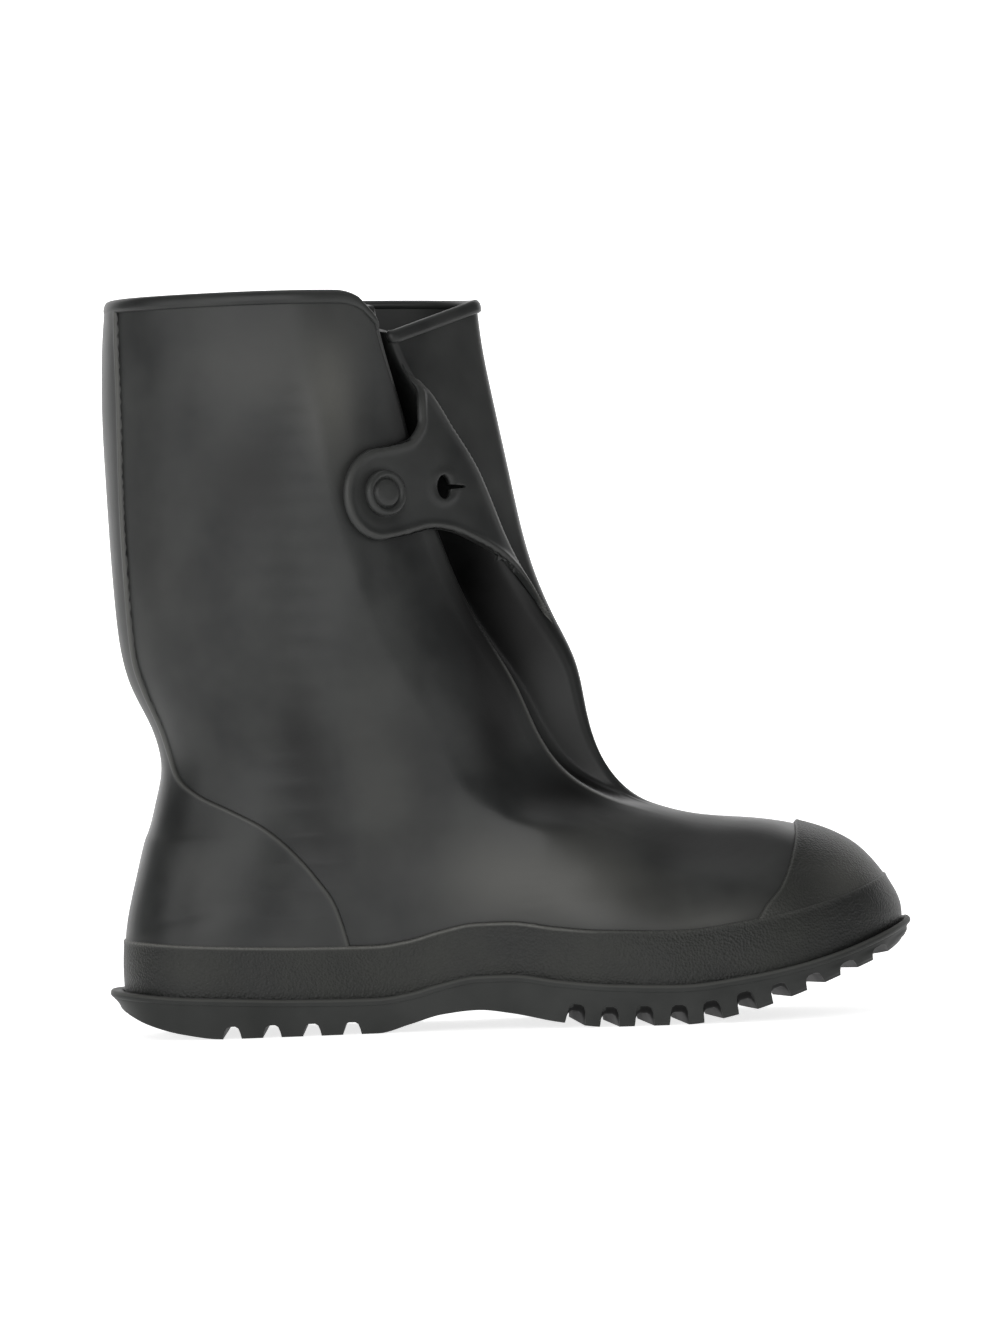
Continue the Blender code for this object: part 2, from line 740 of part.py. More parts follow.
def near_wall(v, x, standoff=0.0):
    ends = ring_ends(v)
    point = wall_point(v, (x - ends[0]) / (ends[2] - ends[0]), -1, ends)
    return point + Vector((0, -standoff, 0))


def strap_row(v, steps):
    """The strap's inner face on ring v: along the near wall, across the bellows, onto the flap."""
    ends = ring_ends(v)
    edge = fold_points(v, ends)[3]
    front = wall_point(v, 1.0, 1, ends)
    tip_x = along(BUTTON_ALONG) - STRAP_END_REACH - 0.002
    crease_x = lerp(ends[0], ends[2], fold_value("crease", v))
    leave_x = min(along(BUTTON_ALONG) + STRAP_LIFTOFF, crease_x - STRAP_LIFTOFF)
    near = [near_wall(v, lerp(tip_x, leave_x, i / 40), STRAP_STANDOFF) for i in range(41)]
    panel = (front - edge).normalized()
    start, stop = near[-1], edge
    leaving = (near[-1] - near[-2]).normalized()
    span = (stop - start).length
    bridge = []
    for i in range(1, 41):
        t = i / 40
        bridge.append(
            start * (2 * t**3 - 3 * t**2 + 1)
            + leaving * span * (t**3 - 2 * t**2 + t)
            + stop * (3 * t**2 - 2 * t**3)
            + panel * span * (t**3 - t**2)
        )
    return even(near + bridge + [edge + panel * STRAP_LAP], steps)


def frame_at(share, level):
    """Point on the strap's inner face and its outward, forward and upward directions there."""
    v = place_at_level(share, level)
    x = along(share)
    rows = [strap_row(v + dv, 240) for dv in (-0.05, 0.0, 0.05)]
    j = min(range(1, 240), key=lambda k: abs(rows[1][k].x - x))
    forward = (rows[1][j + 1] - rows[1][j - 1]).normalized()
    above = min(rows[2], key=lambda p: abs(p.x - rows[1][j].x))
    below = min(rows[0], key=lambda p: abs(p.x - rows[1][j].x))
    out = forward.cross(above - below).normalized()
    return rows[1][j], out, forward, out.cross(forward)


def turned(name, profile, frame, segments, collection):
    """A solid turned about the frame's outward axis; profile is radius and height, end to end."""
    centre, out, forward, up = frame
    bm = bmesh.new()
    rings = []
    for radius, height in profile:
        if radius == 0:
            rings.append([bm.verts.new(centre + out * height)])
            continue
        angles = [2 * math.pi * i / segments for i in range(segments)]
        rings.append([
            bm.verts.new(centre + out * height + (forward * math.cos(a) + up * math.sin(a)) * radius)
            for a in angles
        ])
    for low, high in zip(rings, rings[1:]):
        for i in range(segments):
            k = (i + 1) % segments
            corners = [low[i % len(low)], low[k % len(low)], high[k % len(high)], high[i % len(high)]]
            bm.faces.new(list(dict.fromkeys(corners)))
    bmesh.ops.recalc_face_normals(bm, faces=bm.faces)
    mesh = bpy.data.meshes.new(name)
    bm.to_mesh(mesh)
    bm.free()
    return linked(name, mesh, collection)


def pierced(name, frame, outline, depth, collection):
    """A cutter through the strap: an outline of forward and up, drawn through along its axis."""
    centre, out, forward, up = frame
    bm = bmesh.new()
    layers = []
    for reach in (-depth, depth):
        layers.append([bm.verts.new(centre + out * reach + forward * a + up * b) for a, b in outline])
    for i in range(len(outline)):
        k = (i + 1) % len(outline)
        bm.faces.new((layers[0][i], layers[0][k], layers[1][k], layers[1][i]))
    bm.faces.new(layers[0])
    bm.faces.new(list(reversed(layers[1])))
    bmesh.ops.recalc_face_normals(bm, faces=bm.faces)
    mesh = bpy.data.meshes.new(name)
    bm.to_mesh(mesh)
    bm.free()
    return helper(linked(name, mesh, collection))


def keyhole(half_width, half_height, slit):
    """Oval hole with a slit running forward out of it."""
    outline = []
    gap = math.asin(SLIT_WIDTH / 2 / half_height)
    for i in range(19):
        angle = lerp(gap, 2 * math.pi - gap, i / 18)
        outline.append((half_width * math.cos(angle), half_height * math.sin(angle)))
    return outline + [(half_width + slit, -SLIT_WIDTH / 2), (half_width + slit, SLIT_WIDTH / 2)]


STRAP_LEVELS = 17
STRAP_STEPS = 13
HOLE_SIDES = 20


def make_strap(parts, cutters):
    low_v = place_at_level(STRAP_BOTTOM[-1].along, STRAP_BOTTOM[-1].level) - 0.3
    high_v = place_at_level(STRAP_TOP[0].along, STRAP_TOP[0].level) + 0.35
    rows = [strap_row(v, STRAP_STEPS) for v in levels_between(low_v, high_v, STRAP_LEVELS)]
    strap = shell("strap", rows, GAP, GAP + STRAP_THICK, parts, closed=False)
    top, bottom = edge_line(STRAP_TOP, 16), edge_line(STRAP_BOTTOM, 14)
    middle_z = (top[-1][1] + bottom[0][1]) / 2
    end = []
    for i in range(1, 12):
        angle = math.pi * i / 12
        end.append((
            top[-1][0] - STRAP_END_REACH * math.sin(angle),
            middle_z + (top[-1][1] - middle_z) * math.cos(angle),
        ))
    past = along(0.7)
    outline = top + end + bottom + [(past, bottom[-1][1]), (past, top[0][1])]
    cut(strap, side_prism("strap_cutter", outline, SHAFT_WIDTH, cutters), "INTERSECT")
    button_frame = frame_at(BUTTON_ALONG, BUTTON_LEVEL)
    radius = STEM_RADIUS + HOLE_CLEARANCE
    circle = [2 * math.pi * i / HOLE_SIDES for i in range(HOLE_SIDES)]
    round_hole = [(radius * math.cos(a), radius * math.sin(a)) for a in circle]
    cut(strap, pierced("button_hole", button_frame, round_hole, 0.008, cutters), "DIFFERENCE")
    free_frame = frame_at(FREE_HOLE_ALONG, FREE_HOLE_LEVEL)
    free_hole = keyhole(FREE_HOLE_WIDTH / 2, FREE_HOLE_HEIGHT / 2, SLIT_LENGTH)
    cut(strap, pierced("free_hole", free_frame, free_hole, 0.008, cutters), "DIFFERENCE")
    return finish(strap, UPPER_RUBBER, 0.5)


def make_button(parts):
    centre, out, forward, up = frame_at(BUTTON_ALONG, BUTTON_LEVEL)
    base = -STRAP_STANDOFF + 2 * GAP
    under = GAP + STRAP_THICK + GAP
    top = under + BUTTON_HEAD
    profile = [
        (0, base), (BUTTON_FOOT_RADIUS, base), (BUTTON_FOOT_RADIUS, base + BUTTON_FOOT),
        (STEM_RADIUS, base + BUTTON_FOOT), (STEM_RADIUS, under), (BUTTON_RADIUS - 0.0006, under),
        (BUTTON_RADIUS, under + 0.0008), (BUTTON_RADIUS - 0.0002, top - 0.0012),
        (BUTTON_RADIUS - 0.0014, top), (BUTTON_RADIUS - 0.0026, top),
        (BUTTON_RADIUS - 0.0034, top - 0.0009), (0.0022, top - 0.0009), (0, top - 0.0005),
    ]
    button = turned("button", profile, (centre, out, forward, up), 28, parts)
    return finish(button, UPPER_RUBBER, 0.45)


OUTLINE_STEPS = 30


def sole_outline(offset, lip_share=0.0):
    """Near and far points of the sole's plan, heel to toe, moved out from the feather line."""
    back_x, front_x = along(RINGS[FEATHER].back), along(TOE_END)
    sides = []
    for side in (-1, 1):
        points = []
        for i in range(4 * ARC_SAMPLES + 1):
            x = lerp(back_x, front_x, (1 - math.cos(math.pi * i / (4 * ARC_SAMPLES))) / 2)
            points.append(Vector((x, plan_centre(x) + side * plan_half(x, back_x), 0)))
        sides.append(even(points, OUTLINE_STEPS))
    loop = sides[0] + list(reversed(sides[1][1:-1]))
    count = len(loop)
    moved = []
    for j, point in enumerate(loop):
        run = loop[(j + 1) % count] - loop[j - 1]
        lip = through(SOLE_LINE, "along", "lip", share_at(point.x)) * RIM_WIDTH * lip_share
        moved.append(point + Vector((run.y, -run.x, 0)).normalized() * (offset + lip))
    near = moved[: OUTLINE_STEPS + 1]
    far = [moved[0]] + list(reversed(moved[OUTLINE_STEPS + 1 :])) + [near[-1]]
    return near, far


def solid_from_loops(name, loops, collection):
    """A closed solid through loops of near and far points, its first and last loop covered."""
    bm = bmesh.new()
    made = []
    for near, far in loops:
        near_verts = [bm.verts.new(p) for p in near]
        far_verts = [near_verts[0]] + [bm.verts.new(p) for p in far[1:-1]] + [near_verts[-1]]
        made.append((near_verts, far_verts))
    for (near_a, far_a), (near_b, far_b) in zip(made, made[1:]):
        for a, b in ((near_a, near_b), (far_a, far_b)):
            for j in range(len(a) - 1):
                corners = [a[j], a[j + 1], b[j + 1], b[j]]
                bm.faces.new(corners)
    for near_verts, far_verts in (made[0], made[-1]):
        for j in range(len(near_verts) - 1):
            corners = [near_verts[j], near_verts[j + 1], far_verts[j + 1], far_verts[j]]
            unlike = list(dict.fromkeys(corners))
            bm.faces.new(unlike)
    bmesh.ops.recalc_face_normals(bm, faces=bm.faces)
    mesh = bpy.data.meshes.new(name)
    bm.to_mesh(mesh)
    bm.free()
    return linked(name, mesh, collection)


def at_height(sides, height):
    return tuple([Vector((p.x, p.y, height(p.x))) for p in side] for side in sides)


def groove_cutter(name, x, width, chevron, notch, collection):
    """One cross groove, open at both sides, its roof rising to a notch in the sole's side."""
    back_x = along(RINGS[FEATHER].back)
    half = plan_half(x, back_x) + RIM_WIDTH
    centre = plan_centre(x)
    slope = (tread_z(x + 0.004) - tread_z(x - 0.004)) / 0.008
    past = 0.02
    thick = rim_z(x) - tread_z(x)
    depth = min(CLEAT_DEPTH, CLEAT_SHARE * thick)
    notch = max(0.0, min(notch, thick - LIP_HEIGHT - 2 * LIP_STEP - depth))
    shape = [(-half - past, notch), (-half, notch), (-half + NOTCH_REACH, 0.0), (0.0, 0.0)]
    shape += [(-y, lift) for y, lift in reversed(shape[:-1])]
    rows = []
    for y, lift in shape:
        middle_x = x - chevron * (1 - min(1.0, abs(y) / half))
        floor = tread_z(x) + slope * (middle_x - x)
        row = []
        for dx, dz in ((-0.62, -2.2), (-0.62, 0.0), (-0.36, 1.0), (0.36, 1.0), (0.62, 0.0), (0.62, -2.2)):
            up = dz * depth + (lift if dz > 0.5 else 0.0)
            across = dx * width
            row.append(Vector((middle_x + across - slope * up, centre + y, floor + slope * across + up)))
        rows.append(row)
    bm = bmesh.new()
    made = [[bm.verts.new(p) for p in row] for row in rows]
    for low, high in zip(made, made[1:]):
        for j in range(len(low)):
            k = (j + 1) % len(low)
            bm.faces.new((low[j], low[k], high[k], high[j]))
    bm.faces.new(made[0])
    bm.faces.new(list(reversed(made[-1])))
    bmesh.ops.recalc_face_normals(bm, faces=bm.faces)
    mesh = bpy.data.meshes.new(name)
    bm.to_mesh(mesh)
    bm.free()
    return helper(linked(name, mesh, collection))


HEEL_FIRST_GROOVE = 0.155
BALL_FIRST_GROOVE = 0.578


def make_outsole(parts, cutters):
    tray = GAP + FOXING_THICK + TRAY_GAP
    waist = tray - LIP_STEP
    foot = waist - SIDE_TAPER
    loops = [
        at_height(sole_outline(tray), tray_z),
        at_height(sole_outline(tray), lambda x: rim_z(x) - RIM_EDGE),
        at_height(sole_outline(tray + RIM_EDGE), rim_z),
        at_height(sole_outline(tray - RIM_EDGE, 1.0), rim_z),
        at_height(sole_outline(tray, 1.0), lambda x: rim_z(x) - RIM_EDGE),
        at_height(sole_outline(tray, 1.0), lambda x: rim_z(x) - LIP_HEIGHT),
        at_height(sole_outline(waist, 1.0), lambda x: rim_z(x) - LIP_HEIGHT - LIP_STEP),
        at_height(sole_outline(foot, 1.0), lambda x: tread_z(x) + BOTTOM_CHAMFER),
        at_height(sole_outline(foot - BOTTOM_CHAMFER, 1.0), tread_z),
    ]
    outsole = solid_from_loops("outsole", loops, parts)
    for i in range(HEEL_GROOVES):
        x = along(HEEL_FIRST_GROOVE) + HEEL_PITCH * i
        groove = groove_cutter(f"heel_groove_{i + 1}", x, HEEL_GROOVE, 0.0, 0.0, cutters)
        cut(outsole, groove, "DIFFERENCE")
    for i in range(BALL_GROOVES):
        x = along(BALL_FIRST_GROOVE) + BALL_PITCH * i
        groove = groove_cutter(f"ball_groove_{i + 1}", x, BALL_GROOVE, CHEVRON, NOTCH_RISE, cutters)
        cut(outsole, groove, "DIFFERENCE")
    return finish(outsole, SOLE_RUBBER, 0.6)


def make_insole(parts):
    inside = -WALL - 3 * GAP
    loops = [
        at_height(sole_outline(inside), lambda x: tray_z(x) + GAP + INSOLE_THICK),
        at_height(sole_outline(inside), lambda x: tray_z(x) + GAP),
    ]
    insole = solid_from_loops("insole", loops, parts)
    return finish(insole, SOLE_RUBBER, 0.8)


def build():
    for thing in list(bpy.data.objects):
        bpy.data.objects.remove(thing)
    parts = bpy.data.collections.new("rubber_overshoe")
    cutters = bpy.data.collections.new("cutters")
    for collection in (parts, cutters):
        bpy.context.scene.collection.children.link(collection)
    make_upper(parts)
    make_foxing(parts)
    make_toe_cap(parts, cutters)
    make_counter(parts, cutters)
    make_band(parts)
    make_strap(parts, cutters)
    make_button(parts)
    make_outsole(parts, cutters)
    make_insole(parts)


build()
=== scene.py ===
# %% [markdown]
# # A buttoned rubber overshoe
#
# The object is a black rubber overshoe, pulled on over a work shoe. Its thin upper stands in a
# cleated outsole, the front folds inward as a bellows, and a strap on the flap buttons across the
# fold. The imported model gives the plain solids. This lesson dresses each of them: the same forms
# in a finer mesh, with rounded edges, soft creases and real rubber.

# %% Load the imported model
import math

import bmesh
import bpy
import numpy as np
from mathutils import Matrix, Vector


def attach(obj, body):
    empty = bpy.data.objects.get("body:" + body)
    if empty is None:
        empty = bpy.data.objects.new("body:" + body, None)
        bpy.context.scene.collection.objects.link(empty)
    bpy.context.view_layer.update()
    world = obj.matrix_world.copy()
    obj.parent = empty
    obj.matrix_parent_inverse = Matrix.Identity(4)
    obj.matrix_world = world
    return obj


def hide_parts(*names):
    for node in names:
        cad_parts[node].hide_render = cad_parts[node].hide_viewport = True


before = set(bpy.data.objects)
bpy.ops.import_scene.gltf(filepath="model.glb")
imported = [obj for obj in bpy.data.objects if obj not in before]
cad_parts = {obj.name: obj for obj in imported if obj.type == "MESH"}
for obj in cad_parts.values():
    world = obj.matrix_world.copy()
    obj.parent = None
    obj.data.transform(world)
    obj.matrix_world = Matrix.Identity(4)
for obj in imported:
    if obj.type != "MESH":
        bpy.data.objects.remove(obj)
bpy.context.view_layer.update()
mm = 0.001
print("pieces in the packed model:", sorted(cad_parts))

# %% [markdown]
# ## Sizes
#
# A shoe is made round a last, a solid form of the foot. Its main sizes are the sole's length, the
# widths at heel and ball, the vamp's height and the collar's height. Everything below is a share
# of these sizes, so the whole shoe follows when one of them changes.

# %% The last's sizes and the rubber's thicknesses
SOLE_LENGTH, BALL_WIDTH, HEEL_WIDTH, SHAFT_WIDTH = 300 * mm, 106.5 * mm, 79 * mm, 107 * mm
VAMP_HEIGHT, COLLAR_HEIGHT, SOLE_EDGE = 60 * mm, 257.5 * mm, 13.5 * mm
WALL, GAP, TRAY_GAP = 1.8 * mm, 0.3 * mm, 0.5 * mm
FOXING_THICK, CAP_THICK, COUNTER_THICK, STRAP_THICK = 1.5 * mm, 1.2 * mm, 1.0 * mm, 2.4 * mm
FOXING_HEIGHT, BAND_HEIGHT = 19 * mm, 4.6 * mm
ORIGIN_SHARE = 0.2315
print("sole", SOLE_LENGTH / mm, "mm long, collar", COLLAR_HEIGHT / mm, "mm above the rim")

# %% [markdown]
# The lines of the last are short tables. A curve goes through each column and never swings past
# a row's value, so a table of a few rows gives a smooth line. Heights are told in levels above
# the sole's rim: 1 is the top of the foxing, 2 the vamp and 3 the collar.

# %% Tables of named columns, and the curve through a column
def table(names, *rows):
    return dict(zip(names.split(), np.array(rows, dtype=float).T))


def through(rows, key, column, at):
    keys, values = rows[key], rows[column]
    steps = np.diff(keys)
    slopes = np.diff(values) / steps
    before, after = slopes[:-1], slopes[1:]
    alike = before * after > 0
    middle = np.where(alike, 2 * before * after / np.where(alike, before + after, 1), 0)
    tangents = np.concatenate([slopes[:1], middle, slopes[-1:]])
    at = np.clip(at, keys[0], keys[-1])
    i = np.clip(np.searchsorted(keys, at, side="right") - 1, 0, len(steps) - 1)
    t = (at - keys[i]) / steps[i]
    return (
        (2 * t**3 - 3 * t**2 + 1) * values[i]
        + (t**3 - 2 * t**2 + t) * steps[i] * tangents[i]
        + (3 * t**2 - 2 * t**3) * values[i + 1]
        + (t**3 - t**2) * steps[i] * tangents[i + 1]
    )


def lerp(a, b, t):
    return a + (b - a) * t


def smooth(t):
    t = np.clip(t, 0, 1)
    return t * t * (3 - 2 * t)


# %% The sole's line and the last's plan
SOLE_LINE = table(
    "along rim tread lip",
    (0.000, 1.37, 1.00, 2.0),
    (0.050, 1.27, 0.43, 1.7),
    (0.095, 1.19, 0.15, 1.2),
    (0.145, 1.13, 0.00, 1.0),
    (0.240, 1.03, 0.00, 1.0),
    (0.335, 0.99, 0.00, 1.0),
    (0.375, 1.10, 0.22, 1.0),
    (0.415, 1.33, 0.46, 1.0),
    (0.460, 1.51, 0.55, 1.0),
    (0.500, 1.52, 0.44, 1.0),
    (0.560, 1.33, 0.16, 1.0),
    (0.620, 1.19, 0.00, 1.0),
    (0.715, 1.11, 0.00, 1.0),
    (0.790, 1.28, 0.28, 1.0),
    (0.850, 1.50, 0.68, 1.0),
    (0.910, 1.83, 1.16, 1.0),
    (0.965, 2.25, 1.62, 1.0),
    (1.000, 2.57, 2.05, 1.0),
)
PLAN = table(
    "along heel ball centre crown",
    (0.000, 0.97, 0.00, 0.000, 3.0),
    (0.200, 1.00, 0.00, 0.000, 3.0),
    (0.333, 0.80, 0.11, -0.005, 2.8),
    (0.433, 0.50, 0.34, -0.018, 2.5),
    (0.533, 0.25, 0.62, -0.027, 2.2),
    (0.633, 0.08, 0.875, -0.026, 2.0),
    (0.717, 0.00, 1.00, -0.016, 2.0),
    (0.800, 0.00, 1.005, -0.006, 2.2),
    (0.880, 0.00, 0.985, 0.014, 2.6),
    (1.000, 0.00, 0.95, 0.055, 2.8),
)


def along(share):
    return (share - ORIGIN_SHARE) * SOLE_LENGTH


def share_at(x):
    return x / SOLE_LENGTH + ORIGIN_SHARE


def rim_z(x):
    return through(SOLE_LINE, "along", "rim", share_at(x)) * SOLE_EDGE


def tread_z(x):
    return through(SOLE_LINE, "along", "tread", share_at(x)) * SOLE_EDGE


def rise(level):
    foot = FOXING_HEIGHT + (VAMP_HEIGHT - FOXING_HEIGHT) * (level - 1)
    shaft = VAMP_HEIGHT + (COLLAR_HEIGHT - VAMP_HEIGHT) * (level - 2)
    return np.where(level <= 1, level * FOXING_HEIGHT, np.where(level <= 2, foot, shaft))


print("toe spring", round(float(tread_z(along(1.0))) / mm, 1), "mm")

# %% [markdown]
# ## The upper as rings
#
# The upper is drawn as rings laid on top of each other, from the sole's rim to the collar. Each
# row of the table gives the back and the front end of one ring. Its plan turns from the foot's
# long oval to the leg's round one on the way up.

# %% Rings of the upper
RINGS = table(
    "index back back_level front front_level follow shaft width",
    (0, 0.0242, -0.137, 0.987, -0.105, 1.0, 0.00, 0.74),
    (1, 0.0236, 0.400, 0.987, 0.270, 1.0, 0.00, 0.75),
    (2, 0.0260, 1.000, 0.968, 1.000, 1.0, 0.00, 0.76),
    (3, 0.0330, 1.300, 0.917, 1.520, 0.8, 0.00, 0.78),
    (4, 0.0425, 1.580, 0.823, 1.880, 0.5, 0.00, 0.80),
    (5, 0.0500, 1.800, 0.723, 2.010, 0.3, 0.08, 0.81),
    (6, 0.0567, 1.960, 0.665, 2.040, 0.1, 0.25, 0.82),
    (7, 0.0685, 2.050, 0.625, 2.110, 0.0, 0.50, 0.83),
    (8, 0.0795, 2.125, 0.609, 2.190, 0.0, 0.80, 0.85),
    (9, 0.0683, 2.200, 0.601, 2.286, 0.0, 1.00, 0.89),
    (10, 0.0433, 2.275, 0.579, 2.357, 0.0, 1.00, 0.93),
    (11, 0.0310, 2.360, 0.557, 2.430, 0.0, 1.00, 0.96),
    (12, 0.0257, 2.490, 0.538, 2.523, 0.0, 1.00, 0.98),
    (13, 0.0225, 2.630, 0.523, 2.644, 0.0, 1.00, 1.00),
    (14, 0.0203, 2.770, 0.508, 2.765, 0.0, 1.00, 1.00),
    (15, 0.0230, 2.895, 0.495, 2.881, 0.0, 1.00, 1.00),
    (16, 0.0292, 3.000, 0.490, 2.966, 0.0, 1.00, 1.01),
)
FEATHER, FOXING_TOP, COLLAR = 0, 2, 16
RING_POWER, CLIMB_POWER, INSTEP_SOFT = 2.1, 4.0, 16 * mm
HEEL_ROUND, TOE_ROUND, HEEL_POWER, TOE_POWER, TOE_END = 0.125, 0.225, 2.3, 2.35, 0.987


def softened_curve(column, at, reach=0.4):
    """The table's curve, averaged over a short stretch, so that no row shows as a line."""
    reach = reach * smooth(np.minimum(at, COLLAR - at) / 2)
    values = [through(RINGS, "index", column, at + reach * k) for k in (-1, -0.5, 0, 0.5, 1)]
    return sum(rise(value) if "level" in column else value for value in values) / 5


RING_STEPS = np.linspace(0, COLLAR, 1601)
RING_CURVES = {column: softened_curve(column, RING_STEPS) for column in RINGS}


def ring_value(column, v):
    return np.interp(v, RING_STEPS, RING_CURVES[column])


def ring_ends(v):
    back_x, front_x = along(ring_value("back", v)), along(ring_value("front", v))
    back_z = rim_z(back_x) + ring_value("back_level", v)
    front_z = rim_z(front_x) + ring_value("front_level", v)
    return back_x, back_z, front_x, front_z


RIDGE = ring_ends(np.linspace(1, COLLAR, 400))[2:]


def ridge_z(x):
    return np.interp(x, RIDGE[0][::-1], RIDGE[1][::-1])


def rounded_end(distance, length, power):
    reach = np.clip(1 - distance / length, 0, 1)
    return (1 - reach**power) ** (1 / power)


def plan_half(x, back_x):
    heel = through(PLAN, "along", "heel", share_at(x)) * HEEL_WIDTH / 2
    ball = through(PLAN, "along", "ball", share_at(x)) * BALL_WIDTH / 2
    heel_end = rounded_end(x - back_x, HEEL_ROUND * SOLE_LENGTH, HEEL_POWER)
    toe_end = rounded_end(along(TOE_END) - x, TOE_ROUND * SOLE_LENGTH, TOE_POWER)
    return (heel + ball) * heel_end * toe_end


def plan_centre(x):
    return through(PLAN, "along", "centre", share_at(x)) * BALL_WIDTH


# %% Height and half width of a ring
def ring_height(v, x, ends):
    back_x, back_z, front_x, front_z = ends
    climb = np.clip((x - back_x) / (front_x - back_x), 0, None) ** CLIMB_POWER
    sole = rim_z(x) - lerp(rim_z(back_x), rim_z(front_x), climb)
    return lerp(back_z, front_z, climb) + ring_value("follow", v) * sole


def foot_half(x, z, back_x):
    floor_z = rim_z(x)
    over = np.clip((z - floor_z) / np.maximum(ridge_z(x) - floor_z, 1e-6), 0, 1)
    crown = through(PLAN, "along", "crown", share_at(x))
    return plan_half(x, back_x) * np.sqrt(1 - over**crown)


def ring_half(v, x, z, ends):
    back_x, _, front_x, _ = ends
    from_ends = np.minimum(front_x - x, x - back_x) / 2
    soft = np.clip(np.minimum(from_ends, INSTEP_SOFT * smooth((v - FOXING_TOP) / 1.3)), 0, None)
    foot = sum(foot_half(x + soft * k, z, back_x) for k in (-1, -0.5, 0, 0.5, 1)) / 5
    t = np.clip((x - back_x) / (front_x - back_x), 0, 1)
    leg = ring_value("width", v) * SHAFT_WIDTH / 2
    leg = leg * (1 - np.abs(2 * t - 1) ** RING_POWER) ** (1 / RING_POWER)
    return lerp(foot, leg, ring_value("shaft", v))


# %% [markdown]
# The near side carries the bellows. Going round a ring from the heel, the wall bends inward at
# the crease, runs to the valley, turns back on itself and comes out again at the flap's edge.
# A second table says where these fold lines lie on each ring.

# %% The fold lines of the bellows
BELLOWS = table(
    "ring crease tuck valley valley_out edge edge_out open dip",
    (4, 0.955, 0.00, 0.975, 0.08, 0.990, 0.04, 0.00, 0.0),
    (5, 0.965, 0.05, 0.980, 0.06, 0.992, 0.03, 0.00, 0.0),
    (6, 0.955, 0.25, 0.972, 0.08, 0.990, 0.03, 0.75, 0.0),
    (7, 0.915, 0.32, 0.917, 0.09, 0.985, 0.05, 1.00, 0.0),
    (8, 0.884, 0.28, 0.876, 0.08, 0.982, 0.07, 1.00, 0.0),
    (9, 0.862, 0.24, 0.846, 0.07, 0.980, 0.08, 1.00, 0.0),
    (10, 0.852, 0.22, 0.828, 0.08, 0.973, 0.11, 1.00, 0.0),
    (11, 0.836, 0.24, 0.806, 0.10, 0.962, 0.17, 1.00, 0.0),
    (12, 0.812, 0.26, 0.775, 0.13, 0.936, 0.27, 1.00, 0.0),
    (13, 0.787, 0.22, 0.742, 0.18, 0.905, 0.37, 1.00, 0.0),
    (14, 0.772, 0.17, 0.700, 0.22, 0.842, 0.53, 1.00, 0.1),
    (15, 0.755, 0.08, 0.655, 0.24, 0.785, 0.62, 1.00, 0.5),
    (16, 0.735, 0.06, 0.625, 0.25, 0.758, 0.66, 1.00, 1.0),
)
COLLAR_DIP, TUCK_START, VALLEY_WIDTH = 15 * mm, 0.24, 6.2 * mm
CREASE_CORNER, VALLEY_CORNER, EDGE_CORNER, FRONT_CORNER = 7.0 * mm, 2.9 * mm, 4.2 * mm, 8.0 * mm


def fold_value(column, v):
    return through(BELLOWS, "ring", column, v)


def wall(v, t, side):
    """Points of the plain wall: t from the back at 0 to the front at 1, side -1 is near."""
    ends = ring_ends(v)
    x = lerp(ends[0], ends[2], t)
    z = ring_height(v, x, ends)
    half = ring_half(v, x, z, ends)
    tucked = fold_value("tuck", v) * smooth((t - fold_value("crease", v) + TUCK_START) / TUCK_START)
    half = half * np.where(side < 0, 1 - tucked, 1)
    y = plan_centre(x) * (1 - ring_value("shaft", v)) + side * half
    return np.stack(np.broadcast_arrays(x, y, z), axis=-1)


# %% Paths: dense arcs, even steps and round corners
ARC_SAMPLES, TURN_WEIGHT = 500, 30 * mm


def arc(v, start, stop, side):
    turn = lerp(math.acos(1 - 2 * start), math.acos(1 - 2 * stop), np.linspace(0, 1, ARC_SAMPLES))
    return wall(v, (1 - np.cos(turn)) / 2, side)


def lengths_along(path):
    return np.concatenate([[0], np.cumsum(np.linalg.norm(np.diff(path, axis=0), axis=1))])


def at_lengths(path, passed, wanted):
    return np.stack([np.interp(wanted, passed, path[:, k]) for k in range(3)], axis=1)


def even(path, steps):
    """The same path in even steps, shorter where it turns."""
    runs = np.diff(path, axis=0)
    size = np.linalg.norm(runs, axis=1)
    headings = runs / np.maximum(size, 1e-12)[:, None]
    turns = np.arccos(np.clip((headings[1:] * headings[:-1]).sum(axis=1), -1, 1))
    weights = size + np.minimum(TURN_WEIGHT * np.concatenate([[0], turns]), 1.5 * size)
    passed = np.concatenate([[0], np.cumsum(weights)])
    return at_lengths(path, passed, np.linspace(0, passed[-1], steps + 1))


def shortened(path, length):
    """The path without its first part of that length."""
    passed = lengths_along(path)
    length = min(length, passed[-1] - 1e-5)
    start = at_lengths(path, passed, [length])
    return np.concatenate([start, path[passed > length + 1e-9]])


def round_corner(before, tip, after, reach, steps):
    back, ahead = before - tip, after - tip
    long_back, long_ahead = np.linalg.norm(back), np.linalg.norm(ahead)
    reach = min(reach, 0.48 * long_back, 0.48 * long_ahead)
    cosine = float(back @ ahead / (long_back * long_ahead))
    weight = math.sin(math.acos(max(-1.0, min(1.0, cosine))) / 2)
    s = np.linspace(0, 1, steps + 1)[:, None]
    a, b, c = (1 - s) ** 2, 2 * s * (1 - s) * weight, s * s
    start, stop = tip + back / long_back * reach, tip + ahead / long_ahead * reach
    return (start * a + tip * b + stop * c) / (a + b + c)


# %% One ring of the upper, with its bellows
NEAR_STEPS, CORNER_STEPS, LEG_STEPS, PANEL_STEPS, FAR_STEPS = 92, 8, 12, 16, 76
FOLD_STEPS = 5 * CORNER_STEPS + 2 * LEG_STEPS + PANEL_STEPS


